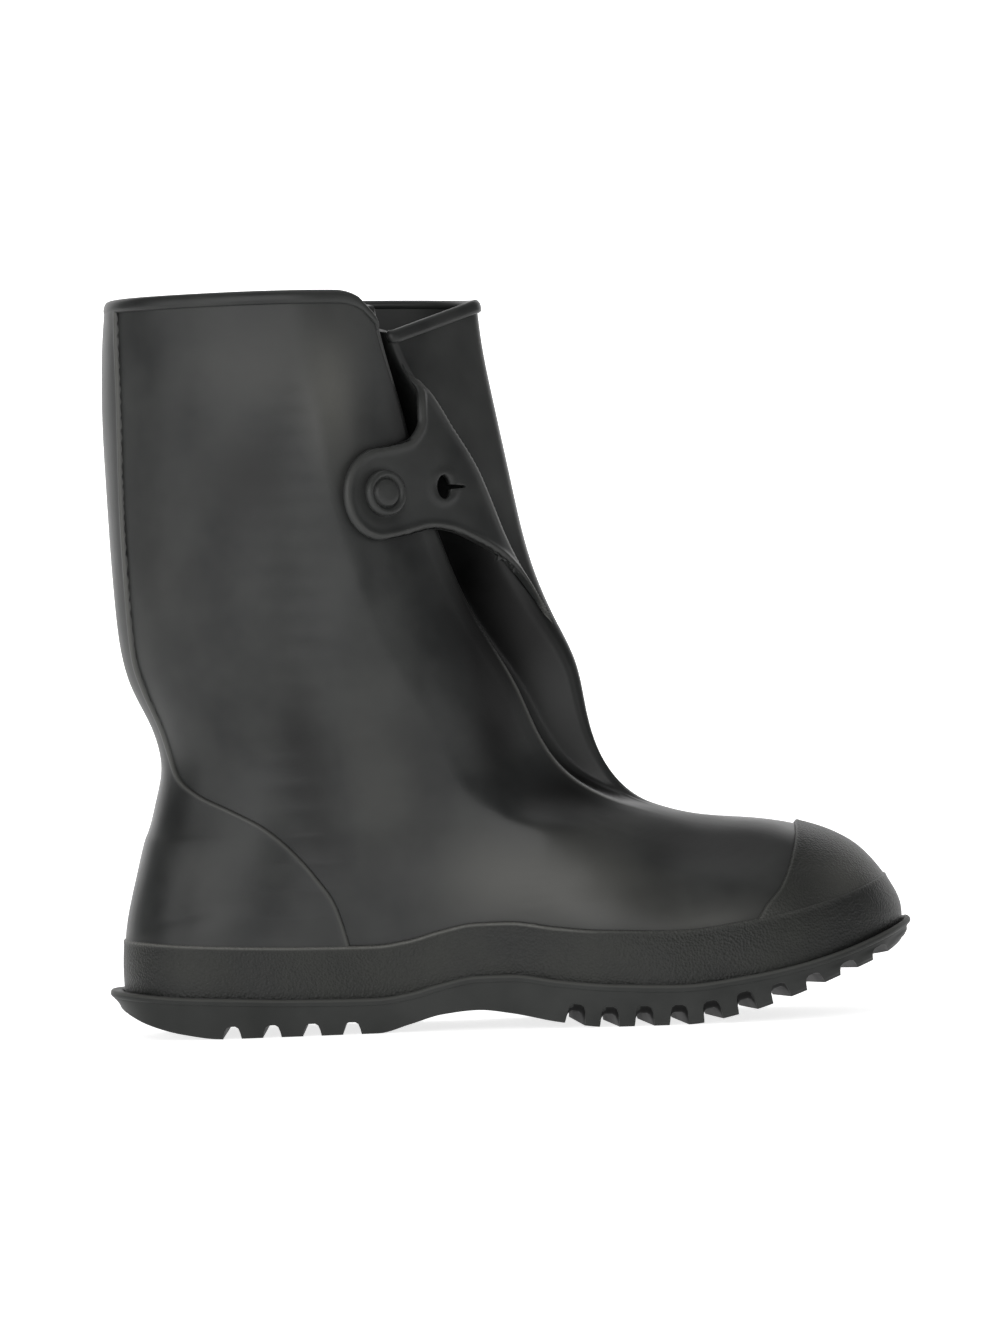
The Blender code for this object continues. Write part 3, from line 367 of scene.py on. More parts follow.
def fold_points(v):
    crease = wall(v, fold_value("crease", v), -1)
    ends = ring_ends(v)
    leg = ring_value("width", v) * SHAFT_WIDTH / 2
    placed = []
    for column in ("valley", "edge"):
        t = fold_value(column, v)
        x = lerp(ends[0], ends[2], t)
        folded = np.array([x, -fold_value(column + "_out", v) * leg, ring_height(v, x, ends)])
        placed.append(lerp(wall(v, t, -1), folded, fold_value("open", v)))
    valley, edge = placed
    dip = np.array([0, 0, COLLAR_DIP * fold_value("dip", v)])
    valley, edge = valley - dip / 2, edge - dip
    span = np.linalg.norm(edge - crease)
    across = (edge - crease) / span * VALLEY_WIDTH / 2 * min(1.0, span / (3 * VALLEY_WIDTH))
    across = across * fold_value("open", v)
    return crease, valley - across, valley + across, edge


def folded_ring(v):
    crease, valley_in, valley_out, edge = fold_points(v)
    near = shortened(arc(v, fold_value("crease", v), 0.0, -1), CREASE_CORNER)[::-1]
    far = shortened(arc(v, 1.0, 0.0, 1), FRONT_CORNER)
    stops = [near[-1], crease, valley_in, valley_out, edge, wall(v, 1.0, 1), far[0]]
    reaches = [CREASE_CORNER, VALLEY_CORNER, VALLEY_CORNER, EDGE_CORNER, FRONT_CORNER]
    legs = [0, LEG_STEPS, 0, LEG_STEPS, PANEL_STEPS]
    path = [even(near, NEAR_STEPS)]
    for i, (reach, steps) in enumerate(zip(reaches, legs)):
        bend = round_corner(stops[i], stops[i + 1], stops[i + 2], reach, CORNER_STEPS)
        if steps:
            s = np.linspace(0, 1, steps + 1)[1:-1, None]
            path.append(lerp(path[-1][-1], bend[0], s))
        path.append(bend if steps else bend[1:])
    return np.concatenate(path + [even(far, FAR_STEPS)[1:]])


def plain_ring(v):
    crease = fold_value("crease", v)
    far = arc(v, 1.0, 0.0, 1)
    rest = shortened(far, FRONT_CORNER)
    tip = far[: len(far) - len(rest) + 1]
    front = np.concatenate([arc(v, crease, 1.0, -1)[:-1], tip, rest[:1]])
    near = even(arc(v, 0.0, crease, -1), NEAR_STEPS)
    return np.concatenate([near, even(front, FOLD_STEPS)[1:-1], even(rest, FAR_STEPS)])


def ring(v):
    opened = smooth(fold_value("open", v))
    return plain_ring(v) if opened == 0 else lerp(plain_ring(v), folded_ring(v), opened)


print("points on one ring:", len(ring(2.0)), len(ring(9.0)))

# %% [markdown]
# ## Soft creases
#
# New rubber is never quite flat. The quarter is drawn in a little behind the ankle, a shallow
# hollow lies under the vamp's ridge, and the wall waves gently. These are given as soft
# troughs and ridges on the wall, each with its own line, width and depth in millimetres. Moving
# the surface itself, and not only its shading, lets the outline and the highlights follow.

# %% Creases in millimetres, and how far they move the wall
CREASES = table(
    "side from_x from_z bend_x bend_z to_x to_z width depth",
    (-1, 10, 244, 5, 150, 2, 30, 12.0, -1.90),
    (-1, -22, 196, -34, 168, -30, 140, 9.0, -0.90),
    (-1, -38, 136, -22, 128, -2, 132, 5.0, -0.55),
    (-1, -20, 104, 6, 112, 34, 100, 9.0, -0.60),
    (-1, 38, 232, 40, 190, 50, 150, 10.0, 0.70),
    (-1, 60, 150, 72, 122, 96, 92, 7.0, -0.70),
    (-1, 112, 76, 146, 64, 182, 58, 8.0, -1.00),
    (-1, 84, 46, 118, 40, 156, 36, 13.0, 0.90),
    (1, 10, 240, 2, 150, -4, 40, 10.0, -1.00),
    (1, -30, 140, -8, 124, 22, 128, 6.0, -0.90),
    (1, -26, 118, 2, 110, 40, 116, 7.0, -0.80),
    (1, 54, 160, 66, 128, 92, 96, 8.0, -0.90),
    (1, 100, 60, 124, 56, 150, 60, 9.0, -1.10),
)
WAVES = table(
    "across up depth start",
    (61, 143, 0.30, 0.4),
    (-47, 97, 0.20, 2.1),
    (37, -71, 0.16, 4.0),
)


def creased(points):
    """How far the wall moves out at each point, by the creases on its side and the waves."""
    x, y, z = points[..., 0] / mm, points[..., 1], points[..., 2] / mm
    side = np.where(y < plan_centre(points[..., 0]) * 0.5, -1, 1)
    moved = np.zeros(x.shape)
    for c in range(len(CREASES["side"])):
        row = {name: CREASES[name][c] for name in CREASES}
        s = np.linspace(0, 1, 25)
        line_x = lerp(lerp(row["from_x"], row["bend_x"], s), lerp(row["bend_x"], row["to_x"], s), s)
        line_z = lerp(lerp(row["from_z"], row["bend_z"], s), lerp(row["bend_z"], row["to_z"], s), s)
        spread = (x[..., None] - line_x) ** 2 + (z[..., None] - line_z) ** 2
        nearest = spread.argmin(axis=-1)
        fade = np.sin(np.pi * np.clip(s, 0.02, 0.98)) ** 0.6
        depth = row["depth"] * fade[nearest] * np.exp(-spread.min(axis=-1) / row["width"] ** 2)
        moved += np.where(side == row["side"], depth, 0)
    for across, up, depth, start in zip(*(WAVES[n] for n in ("across", "up", "depth", "start"))):
        moved += depth * np.sin(2 * math.pi * (x / across + z / up) + start)
    from_middle = np.abs(y - plan_centre(points[..., 0]) * (points[..., 2] < 0.09))
    return moved * mm * smooth(from_middle / (14 * mm))


# %% [markdown]
# The near wall carries painted light: soft grey patches of painted highlight where it bulges
# towards the lights, and black patches of painted shade in the folds, the hollows and under the
# strap. They are placed on the near side, each with its middle, its reach and its strength:
# positive for painted highlight, negative for painted shade.

# %% Patches of painted light in millimetres
PAINTED_LIGHT_SPOTS = table(
    "x z reach_x reach_z strength",
    (0, 246, 24, 20, 0.30),
    (23, 236, 9, 22, 0.85),
    (-9, 208, 14, 18, -0.70),
    (-44, 176, 12, 26, 0.15),
    (6, 112, 9, 24, -0.60),
    (34, 96, 18, 34, 0.25),
    (13, 76, 9, 26, -0.50),
    (-33, 56, 13, 22, 0.15),
    (-36, 80, 12, 9, -0.40),
    (76, 56, 20, 17, 0.62),
    (110, 52, 26, 20, 0.78),
    (156, 34, 24, 10, 0.75),
    (156, 65, 26, 6.5, -0.95),
    (104, 86, 17, 7, -0.70),
    (80, 110, 9, 18, -0.75),
    (77, 138, 10, 22, -1.00),
    (72, 168, 13, 20, -1.00),
    (93, 148, 15, 22, -1.00),
    (108, 108, 13, 22, -0.55),
    (48, 226, 6, 30, -0.85),
    (207, 52, 13, 13, 0.65),
)


def painted_light_at(points):
    """Painted light at each point of the near side, from painted shade at -1 to painted highlight at 1.
    """
    x, z = points[..., 0] / mm, points[..., 2] / mm
    total = np.zeros(x.shape)
    for row in zip(*(PAINTED_LIGHT_SPOTS[name] for name in ("x", "z", "reach_x", "reach_z", "strength"))):
        total += row[4] * np.exp(-(((x - row[0]) / row[2]) ** 2) - ((z - row[1]) / row[3]) ** 2)
    near = smooth(1.1 - (points[..., 1] - plan_centre(points[..., 0])) / (20 * mm))
    return np.clip(total, -1, 1) * near


# %% [markdown]
# ## From a grid to a wall
#
# Every soft layer here starts as a flat grid. Each vertex of the grid is moved to its place on
# the shoe, like a cloth laid over the last. Where the grid's first and last rows meet, they are
# merged, so the finished piece is a closed solid. A grid is chosen because its rows and columns
# follow the shoe, which keeps the highlights smooth.

# %% Normals of a table of points, and the grid helper
def outward(points, closed=False):
    if closed:
        padded = np.concatenate([points[:, -2:-1], points, points[:, 1:2]], axis=1)
        around = padded[:, 2:] - padded[:, :-2]
    else:
        around = np.gradient(points, axis=1)
    upward = np.gradient(points, axis=0)
    normal = np.cross(around, upward)
    return normal / np.maximum(np.linalg.norm(normal, axis=-1, keepdims=True), 1e-12)


def shoe_piece(name, bm, smooth_under=40):
    mesh = bpy.data.meshes.new(name)
    bm.to_mesh(mesh)
    bm.free()
    for face in mesh.polygons:
        face.use_smooth = True
    mesh.set_sharp_from_angle(angle=math.radians(smooth_under))
    thing = bpy.data.objects.new(name, mesh)
    bpy.context.scene.collection.objects.link(thing)
    return thing


def unit(vectors):
    return vectors / np.linalg.norm(vectors, axis=-1, keepdims=True)


def laid_grid(name, points, smooth_under=60, highlight_line=None, wax_bloom_and_painted_light=None):
    """A grid whose vertices are laid on rows and columns of points, its meeting edges merged."""
    rows, columns = points.shape[:2]
    bm = bmesh.new()
    bmesh.ops.create_grid(bm, x_segments=columns - 1, y_segments=rows - 1, size=1.0)
    # Two float layers carry painted light: highlight lines on raised edges, and patches of painted shade
    # and painted highlight.
    edge_lightening, painted_patch = (bm.verts.layers.float.new(key) for key in ("painted_edge_highlight", "painted_light_patch"))
    for vert in bm.verts:
        j = round((vert.co.x + 1) / 2 * (columns - 1))
        i = round((vert.co.y + 1) / 2 * (rows - 1))
        vert.co = points[i, j]
        vert[edge_lightening] = 0.0 if highlight_line is None else highlight_line[i, j]
        vert[painted_patch] = 0.0 if wax_bloom_and_painted_light is None else wax_bloom_and_painted_light[i, j]
    bmesh.ops.remove_doubles(bm, verts=bm.verts, dist=0.004 * mm)
    bmesh.ops.recalc_face_normals(bm, faces=bm.faces)
    if bm.calc_volume(signed=True) < 0:
        bmesh.ops.reverse_faces(bm, faces=bm.faces)
    thing = shoe_piece(name, bm, smooth_under)
    print(f"{name}: {len(thing.data.polygons)} faces")
    return thing


def wrapped(outer, inner):
    """Rows over the outside and back along the inside, ending where they began."""
    return np.concatenate([outer, inner[::-1], outer[:1]])


def skin_and_lining(name, outer, inner, highlight_line, painted_patch=None):
    """A closed wall from its two faces. Painted highlight lines on edges and patches of painted light lie
    on the outer one only.
    """
    wax_bloom_and_painted_light = None if painted_patch is None else wrapped(painted_patch, painted_patch * 0)
    return laid_grid(name, wrapped(outer, inner), highlight_line=wrapped(highlight_line, highlight_line * 0), wax_bloom_and_painted_light=wax_bloom_and_painted_light)


# %% [markdown]
# ## Rubber
#
# The whole shoe is moulded from black rubber filled with carbon. It is a satin black: the surface
# reflects a soft white veil at grazing angles, and a faint grey bloom of wax lies on it in
# patches. Light and shade are also painted into the colour: grey patches of painted highlight and
# black patches of painted shade on the near side, and thin grey lines of painted highlight along
# raised edges. Two attributes on the mesh say where. The foxing and the toe cap come from a
# sandblasted part of the mould and are finely pebbled. The sole is matt, with painted shade in its
# grooves and a painted highlight line on its lip. All of them are one kind of material with other
# values, so one function makes them, and each real size in millimetres sets its pattern's scale.

# %% Colours, nodes and the rubber function
def colour(hex_code):
    values = [int(hex_code[i : i + 2], 16) / 255 for i in (1, 3, 5)]
    return [c / 12.92 if c <= 0.04045 else ((c + 0.055) / 1.055) ** 2.4 for c in values] + [1]


def add(tree, kind, inputs=(), links=(), **settings):
    node = tree.nodes.new(kind)
    for name, value in settings.items():
        setattr(node, name, value)
    for name, value in dict(inputs).items():
        node.inputs[name].default_value = value
    for name, source in dict(links).items():
        tree.links.new(source, node.inputs[name])
    return node


def from_mesh(tree, attribute):
    """The value that the mesh stores under this name."""
    node = add(tree, "ShaderNodeAttribute", attribute_name=attribute, attribute_type="GEOMETRY")
    return node.outputs["Fac"]


# Colours of painted light: black for painted shade, grey for painted highlight patches and for painted
# highlight lines on raised edges.
PAINTED_SHADE_BLACK, PAINTED_HIGHLIGHT_GREY, EDGE_HIGHLIGHT_GREY, BLOOM_SIZE = "#020202", "#484845", "#5a5a57", 38 * mm


def rubber(name, dark, light, rough, grain_mm, grain_height_mm, sheen=0.26, pebbled=False):
    """A rubber: a patchy wax haze over black, with the mesh's painted shade, painted highlight patches
    and painted edge highlight lines mixed in.
    """
    material = bpy.data.materials.new(name)
    material.use_nodes = True
    tree = material.node_tree
    shader = tree.nodes["Principled BSDF"]
    shader.inputs["IOR"].default_value = 1.52
    shader.inputs["Specular IOR Level"].default_value = sheen
    where = add(tree, "ShaderNodeTexCoord").outputs["Object"]
    bloom_scale = {"Scale": 1 / BLOOM_SIZE, "Detail": 3.0, "Roughness": 0.55}
    wax_bloom_and_painted_light = add(tree, "ShaderNodeTexNoise", bloom_scale, {"Vector": where})
    bloom_range = {"From Min": 0.36, "From Max": 0.66}
    wax_bloom_and_painted_light = add(tree, "ShaderNodeMapRange", bloom_range, {"Value": wax_bloom_and_painted_light.outputs["Fac"]})
    tint = add(tree, "ShaderNodeMix", data_type="RGBA")
    tint.inputs["A"].default_value = colour(dark)
    tint.inputs["B"].default_value = colour(light)
    tree.links.new(wax_bloom_and_painted_light.outputs["Result"], tint.inputs["Factor"])
    # The mesh's patch value mixes in painted shade below zero and painted highlight above zero.
    patch = from_mesh(tree, "painted_light_patch")
    painted_shade = add(tree, "ShaderNodeMapRange", {"From Max": -1.0}, {"Value": patch}).outputs["Result"]
    painted_patch = add(tree, "ShaderNodeMapRange", {}, {"Value": patch}).outputs["Result"]
    highlight_line = from_mesh(tree, "painted_edge_highlight")
    surface = tint.outputs["Result"]
    # Painted shade, painted highlight patches and painted edge highlight lines are mixed over the tint in
    # turn.
    for share, over in ((painted_shade, PAINTED_SHADE_BLACK), (painted_patch, PAINTED_HIGHLIGHT_GREY), (highlight_line, EDGE_HIGHLIGHT_GREY)):
        mixed = add(tree, "ShaderNodeMix", data_type="RGBA")
        mixed.inputs["B"].default_value = colour(over)
        tree.links.new(share, mixed.inputs["Factor"])
        tree.links.new(surface, mixed.inputs["A"])
        surface = mixed.outputs["Result"]
    tree.links.new(surface, shader.inputs["Base Color"])
    rough_range = {"To Min": rough[0], "To Max": rough[1]}
    gloss = add(tree, "ShaderNodeMapRange", rough_range, {"Value": wax_bloom_and_painted_light.outputs["Result"]})
    tree.links.new(gloss.outputs["Result"], shader.inputs["Roughness"])
    grain_scale = 1 / (grain_mm * mm)
    if pebbled:
        cells = {"Scale": grain_scale, "Randomness": 1.0}
        grain = add(tree, "ShaderNodeTexVoronoi", cells, {"Vector": where}, feature="F1")
        height = grain.outputs["Distance"]
    else:
        grain = add(tree, "ShaderNodeTexNoise", {"Scale": grain_scale, "Detail": 4.0}, {"Vector": where})
        height = grain.outputs["Fac"]
    bump_size = {"Strength": 1.0, "Distance": grain_height_mm * mm}
    bump = add(tree, "ShaderNodeBump", bump_size, {"Height": height})
    tree.links.new(bump.outputs["Normal"], shader.inputs["Normal"])
    return material


# %% The four rubbers
# Moulded satin rubber: smooth to the touch, with a broad soft highlight and a grey bloom.
upper_rubber = rubber("moulded_satin_rubber", "#1c1d1d", "#2c2d2c", (0.34, 0.44), 1.1, 0.02)
# Pebbled rubber: sandblasted mould, so the highlight breaks into fine grains.
pebbled_rubber = rubber("pebbled_rubber", "#1a1b1a", "#262724", (0.44, 0.52), 0.9, 0.22, pebbled=True)
# Outsole rubber: pressed and trimmed, harder and duller than the upper.
sole_rubber = rubber("pressed_sole_rubber", "#2b2c2b", "#353635", (0.46, 0.56), 1.4, 0.03, sheen=0.08)
# Insole sheet: dull calendered rubber.
sheet_rubber = rubber("calendered_sheet_rubber", "#1b1b1b", "#232323", (0.70, 0.80), 0.8, 0.02)


def dress(piece, material, slot, *nodes):
    piece.data.materials.clear()
    piece.data.materials.append(material)
    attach(piece, "root")
    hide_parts(*nodes)
    return piece


# %% [markdown]
# ## Upper
#
# The upper is one moulded wall, 1.8 mm thick, open at the collar and underneath. The rings are
# spaced by the distance between them on the shoe, so no part is coarser than another. Where the
# near wall turns into the bellows, the collar bends down and rolls into the fold. The outside is
# moved by the creases, and the inside follows it at the wall's thickness.

# %% Rings in even steps up the shoe
def even_levels(low, high, count):
    v = np.linspace(low, high, 1200)
    back_x, back_z, front_x, front_z = ring_ends(v)
    back_moves = np.hypot(np.diff(back_x), np.diff(back_z))
    front_moves = np.hypot(np.diff(front_x), np.diff(front_z))
    passed = np.concatenate([[0], np.cumsum(np.maximum(back_moves, front_moves))])
    return np.interp(np.linspace(0, passed[-1], count), passed, v)


UPPER_ROWS, SMOOTH_PASSES, WALL_FADE = 176, 12, 10
CORNER_BEND, CORNER_DROP = 14 * mm, 11.5 * mm
levels = even_levels(FEATHER, COLLAR, UPPER_ROWS)
form = np.stack([ring(v) for v in levels])
for _ in range(SMOOTH_PASSES):
    form[1:-1] = (form[:-2] + 2 * form[1:-1] + form[2:]) / 4
crease_column = NEAR_STEPS + CORNER_STEPS // 2
valley_column = crease_column + CORNER_STEPS + LEG_STEPS
past_crease = np.arange(crease_column, form.shape[1])
bend = np.clip((form[..., 0] - form[:, crease_column, None, 0] + CORNER_BEND) / CORNER_BEND, 0, 1)
bend[:, crease_column:] = np.clip((valley_column - past_crease) / (valley_column - crease_column), 0, 1)
near_collar = smooth((levels - 13.8) / 2.2)[:, None]
form[..., 2] -= CORNER_DROP * (1 - np.sqrt(1 - np.minimum(bend, 0.999) ** 2)) * near_collar

# The creases fade out where the fold begins, because the folded wall has a form of its own.
on_wall = np.ones(form.shape[1])
fold_start, fold_stop = NEAR_STEPS, NEAR_STEPS + FOLD_STEPS
on_wall[fold_start:fold_stop] = 0.0
on_wall[fold_start - WALL_FADE : fold_start] = np.linspace(1, 0, WALL_FADE)
on_wall[fold_stop : fold_stop + WALL_FADE] = np.linspace(0, 1, WALL_FADE)
closed_form = smooth((5.6 - levels) / 1.2)[:, None]
on_wall = lerp(on_wall[None, :], 1.0, closed_form)
outside = form + outward(form, closed=True) * (creased(form) * on_wall)[..., None]
inside = outside - outward(outside, closed=True) * WALL

# A painted highlight line runs down the near crease, on the rings between the instep and the strap.
ridge = np.zeros(form.shape[:2])
for step in range(-3, 4):
    ridge[:, crease_column + step] = math.exp(-(step**2) / 3)
ridge = 0.5 * ridge * (smooth((levels - 5.4) / 0.8) * smooth((10.4 - levels) / 1.4))[:, None]
# The upper's outside also gets the near side's patches of painted shade and painted highlight.
upper = skin_and_lining("rubber_upper", outside, inside, ridge, painted_light_at(outside))
dress(upper, upper_rubber, "upper_rubber", "upper")

# %% [markdown]
# ## Layers on the upper
#
# The foxing, the toe cap and the heel counter are cut sheets of rubber laid on the upper before
# moulding. In the mould their edges flow into a round shoulder. So each layer is a grid over the
# same wall, lifted by its thickness, and the lift falls to nothing over the last millimetre or so
# at its edge. Inside its edge runs a faint bead, where the mould's parts meet.

# %% Lift of a layer by the distance to its edge
def distance_to(points, line):
    """Least distance of each point to a dense line of points."""
    flat = points.reshape(-1, 3)
    least = np.full(len(flat), np.inf)
    for first in range(0, len(line), 40):
        part = line[first : first + 40]
        gaps = np.linalg.norm(flat[:, None] - part[None], axis=-1).min(axis=1)
        least = np.minimum(least, gaps)
    return least.reshape(points.shape[:-1])


def shoulder(distance, radius):
    return np.sqrt(1 - (1 - np.clip(distance / radius, 0, 1)) ** 2)


def bead(distance, centre, half_width):
    return np.exp(-(((distance - centre) / half_width) ** 2))


SUNK = -0.4 * mm


def layer(name, base, normal, edge, thick, radius, bead_height, edge_lightening):
    """A closed layer over base points: full thickness inside, falling to the wall at its edge."""
    skin = base + normal * creased(base)[..., None]
    distance = distance_to(base, edge)
    lift = SUNK + (GAP + thick - SUNK) * shoulder(distance, radius)
    lift = lift + bead_height * bead(distance, 1.0 * mm, 0.7 * mm)
    outer = skin + normal * lift[..., None]
    inner = skin + normal * SUNK
    inner[:, 0], inner[:, -1] = outer[:, 0], outer[:, -1]
    # A painted highlight line follows the layer's edge, and the near side gets its patches of painted
    # shade and painted highlight.
    highlight_line = edge_lightening * bead(distance, 0.8 * mm, 0.6 * mm)
    return skin_and_lining(name, outer, inner, highlight_line, painted_light_at(skin))


# %% [markdown]
# ### Foxing
#
# The foxing is the band round the shoe just above the sole. It seals the joint between the upper
# and the outsole, so it is one closed band of even thickness with a rounded top.

# %% Foxing band
FOXING_COLUMNS = 420
band_levels = np.concatenate([np.linspace(FEATHER, 1.75, 12)[:-1], np.linspace(1.75, FOXING_TOP, 12)])
rows = []
for v in band_levels:
    near, far = arc(v, 0.0, 1.0, -1), arc(v, 1.0, 0.0, 1)
    rows.append(even(np.concatenate([near, far[1:]]), FOXING_COLUMNS))
base = np.stack(rows)
skin = base + outward(base, closed=True) * creased(base)[..., None]
normal = outward(skin, closed=True)
distance = distance_to(base, base[-1])
lift = SUNK + (GAP + FOXING_THICK - SUNK) * shoulder(distance, 1.1 * mm)
lift = lift + 0.22 * mm * bead(distance, 1.2 * mm, 0.8 * mm)
# A painted highlight line runs along the foxing's top, full behind the vamp and fainter towards the toe.
behind_vamp = smooth((along(0.66) - base[..., 0]) / (40 * mm))
highlight_line = bead(distance, 0.8 * mm, 0.6 * mm) * (0.25 + 0.75 * behind_vamp)
foxing = skin_and_lining(
    "foxing_band", skin + normal * lift[..., None], skin + normal * SUNK, highlight_line,
)
dress(foxing, pebbled_rubber, "foxing_rubber", "foxing")

# %% [markdown]
# ### Toe cap
#
# The toe cap guards the toe against knocks. Its rear edge is drawn as seen from the side, and the
# columns of its grid run from the foxing up to that edge.

# %% Side-view edge lines
TOE_CAP_EDGE = table(
    "index along level",
    (0, 0.790, 0.60),
    (1, 0.815, 1.10),
    (2, 0.836, 1.25),
    (3, 0.852, 1.48),
    (4, 0.862, 1.75),
    (5, 0.851, 1.95),
    (6, 0.835, 2.15),
)
COUNTER_EDGE = table(
    "index along level",
    (0, 0.310, 0.60),
    (1, 0.303, 1.05),
    (2, 0.288, 1.40),
    (3, 0.268, 1.62),
    (4, 0.240, 1.86),
    (5, 0.202, 2.02),
    (6, 0.162, 2.050),
    (7, 0.126, 2.075),
    (8, 0.103, 2.105),
    (9, 0.092, 2.150),
    (10, 0.082, 2.195),
    (11, 0.062, 2.270),
    (12, 0.052, 2.330),
    (13, 0.046, 2.500),
    (14, 0.043, 2.700),
    (15, 0.045, 2.900),
    (16, 0.049, 3.100),
)


def edge_line(edge, samples):
    """Places of an edge line. Heights are interpolated, because levels change scale at the vamp."""
    at = np.linspace(0, edge["index"][-1], samples)
    x = along(through(edge, "index", "along", at))
    return x, rim_z(x) + through(dict(edge, height=rise(edge["level"])), "index", "height", at)


def level_at(x, z, low=1.0, high=float(COLLAR)):
    """Ring that passes a place of the side view, found by halving."""
    low, high = np.full(np.shape(x), low), np.full(np.shape(x), high)
    for _ in range(40):
        v = (low + high) / 2
        below = ring_height(v, x, ring_ends(v)) < z
        low, high = np.where(below, v, low), np.where(below, high, v)
    return (low + high) / 2


# %% Toe cap grid
CAP_COLUMNS, CAP_ROWS, CAP_FOOT = 90, 60, 1.90
cap_x, cap_z = edge_line(TOE_CAP_EDGE, 400)


def cap_level(t):
    """The ring on which a column at t meets the toe cap's edge."""
    v = np.linspace(CAP_FOOT, 5.0, 500)
    points = wall(v, t, 1)
    ahead = points[:, 0] - np.interp(points[:, 2], cap_z, cap_x)
    crossed = np.nonzero(ahead < 0)[0]
    if not len(crossed) or crossed[0] == 0:
        return CAP_FOOT
    i = crossed[0]
    return lerp(v[i - 1], v[i], ahead[i - 1] / (ahead[i - 1] - ahead[i]))


def cap_starts():
    low, high = 0.6, 1.0
    for _ in range(30):
        middle = (low + high) / 2
        low, high = (middle, high) if cap_level(middle) <= CAP_FOOT + 0.02 else (low, middle)
    return high


first_t = cap_starts()
turn = lerp(math.acos(1 - 2 * first_t), math.pi, np.linspace(0, 1, ARC_SAMPLES))
near_t = (1 - np.cos(turn)) / 2
foot_t = np.concatenate([near_t, near_t[::-1]])
near_foot, far_foot = arc(CAP_FOOT, first_t, 1.0, -1), arc(CAP_FOOT, 1.0, first_t, 1)
passed = lengths_along(np.concatenate([near_foot, near_foot[-1:], far_foot[1:]]))
wanted = np.linspace(0, passed[-1], CAP_COLUMNS + 1)
column_t = np.interp(wanted, passed, foot_t)
column_side = np.where(wanted < passed[-1] / 2, -1, 1)
share = 1 - (1 - np.linspace(0, 1, CAP_ROWS)) ** 1.5
cap_tops = np.array([cap_level(t) for t in column_t])
base = np.stack([wall(lerp(CAP_FOOT, cap_tops, s), column_t, column_side) for s in share])
fine_t = np.interp(np.linspace(0, passed[-1], 600), passed, foot_t)
fine_side = np.where(np.linspace(0, 1, 600) < 0.5, -1, 1)
cap_edge = wall(np.array([cap_level(t) for t in fine_t]), fine_t, fine_side)
toe_cap = layer("toe_cap_layer", base, outward(base), cap_edge, CAP_THICK, 1.0 * mm, 0.1 * mm, 0.2)
dress(toe_cap, pebbled_rubber, "foxing_rubber", "toe_cap")

# %% [markdown]
# ### Heel counter and back stay
#
# The counter wraps the heel and narrows to a stay that runs up the back to the collar. Here the
# grid's rows lie level round the heel, from the edge on one side to the edge on the other, and
# they follow the edge line upwards.

# %% Counter grid
COUNTER_ROWS, COUNTER_COLUMNS, TURN_SAMPLES = 230, 64, 601
side_x, side_z = edge_line(COUNTER_EDGE, 900)
edge_v = np.maximum.accumulate(level_at(side_x, side_z))
ends = ring_ends(edge_v)
edge_t = np.clip((side_x - ends[0]) / (ends[2] - ends[0]), 1e-4, 1)
kept = (edge_v >= 1.90) & (edge_v <= COLLAR - 0.1)
edge_v, edge_t = edge_v[kept], edge_t[kept]
near_edge, far_edge = wall(edge_v, edge_t, -1), wall(edge_v, edge_t, 1)
passed = lengths_along(near_edge)
wanted = np.linspace(0, passed[-1], COUNTER_ROWS)
row_v, row_t = np.interp(wanted, passed, edge_v), np.interp(wanted, passed, edge_t)
spacing = np.sin(np.linspace(-1, 1, COUNTER_COLUMNS + 1) * math.pi / 2)


def wall_at(v, turn):
    """The wall by ring and turn: 0 at the back, growing over the far side to the front."""
    return wall(v, (1 - np.cos(turn)) / 2, np.sign(turn) + (turn == 0))


turns = []
for v, t in zip(row_v, row_t):
    turn = math.acos(1 - 2 * t) * np.linspace(1, -1, TURN_SAMPLES)
    passed = lengths_along(wall_at(np.full(TURN_SAMPLES, v), turn))
    turns.append(np.interp((spacing + 1) / 2 * passed[-1], passed, turn))
turns = np.stack(turns)
grid_v = np.repeat(row_v[:, None], COUNTER_COLUMNS + 1, axis=1)
base = wall_at(grid_v, turns)
around = wall_at(grid_v, turns - 0.01) - wall_at(grid_v, turns + 0.01)
upward = wall_at(grid_v + 0.05, turns) - wall_at(grid_v - 0.05, turns)
counter = layer(
    "heel_counter_layer", base, unit(np.cross(around, upward)), np.concatenate([near_edge, far_edge]),
    COUNTER_THICK, 1.3 * mm, 0.2 * mm, 0.6,
)
dress(counter, upper_rubber, "upper_rubber", "heel_counter")

# %% [markdown]
# ### Collar bead
#
# The collar's edge is doubled by a bead that keeps it from tearing. It runs from the flap's edge
# round the front, the far side and the back to the near crease. Its section is a half round that
# wraps over the edge, and at both ends it closes in a small round nose.

# %% Collar bead as a section carried along the collar's edge
SECTION = table(
    "out up",
    (-0.3, -4.6),
    (0.9, -4.5),
    (1.45, -3.9),
    (1.60, -3.0),
    (1.55, -2.0),
    (1.30, -0.9),
    (0.70, 0.1),
    (-0.30, 0.6),
    (-1.30, 0.5),
    (-2.30, -0.1),
    (-2.70, -1.0),
    (-2.60, -2.0),
    (-2.20, -2.6),
    (-1.20, -2.8),
    (-0.80, -3.4),
    (-0.3, -4.6),
)
BEAD_COLUMNS = 420
edge_column = NEAR_STEPS + 3 * CORNER_STEPS + 2 * LEG_STEPS + 2


def beaded(ring_values):
    """The part of a ring that has the bead: from the flap's edge round to the near crease."""
    return np.concatenate([ring_values[edge_column:], ring_values[1 : crease_column + 1]])


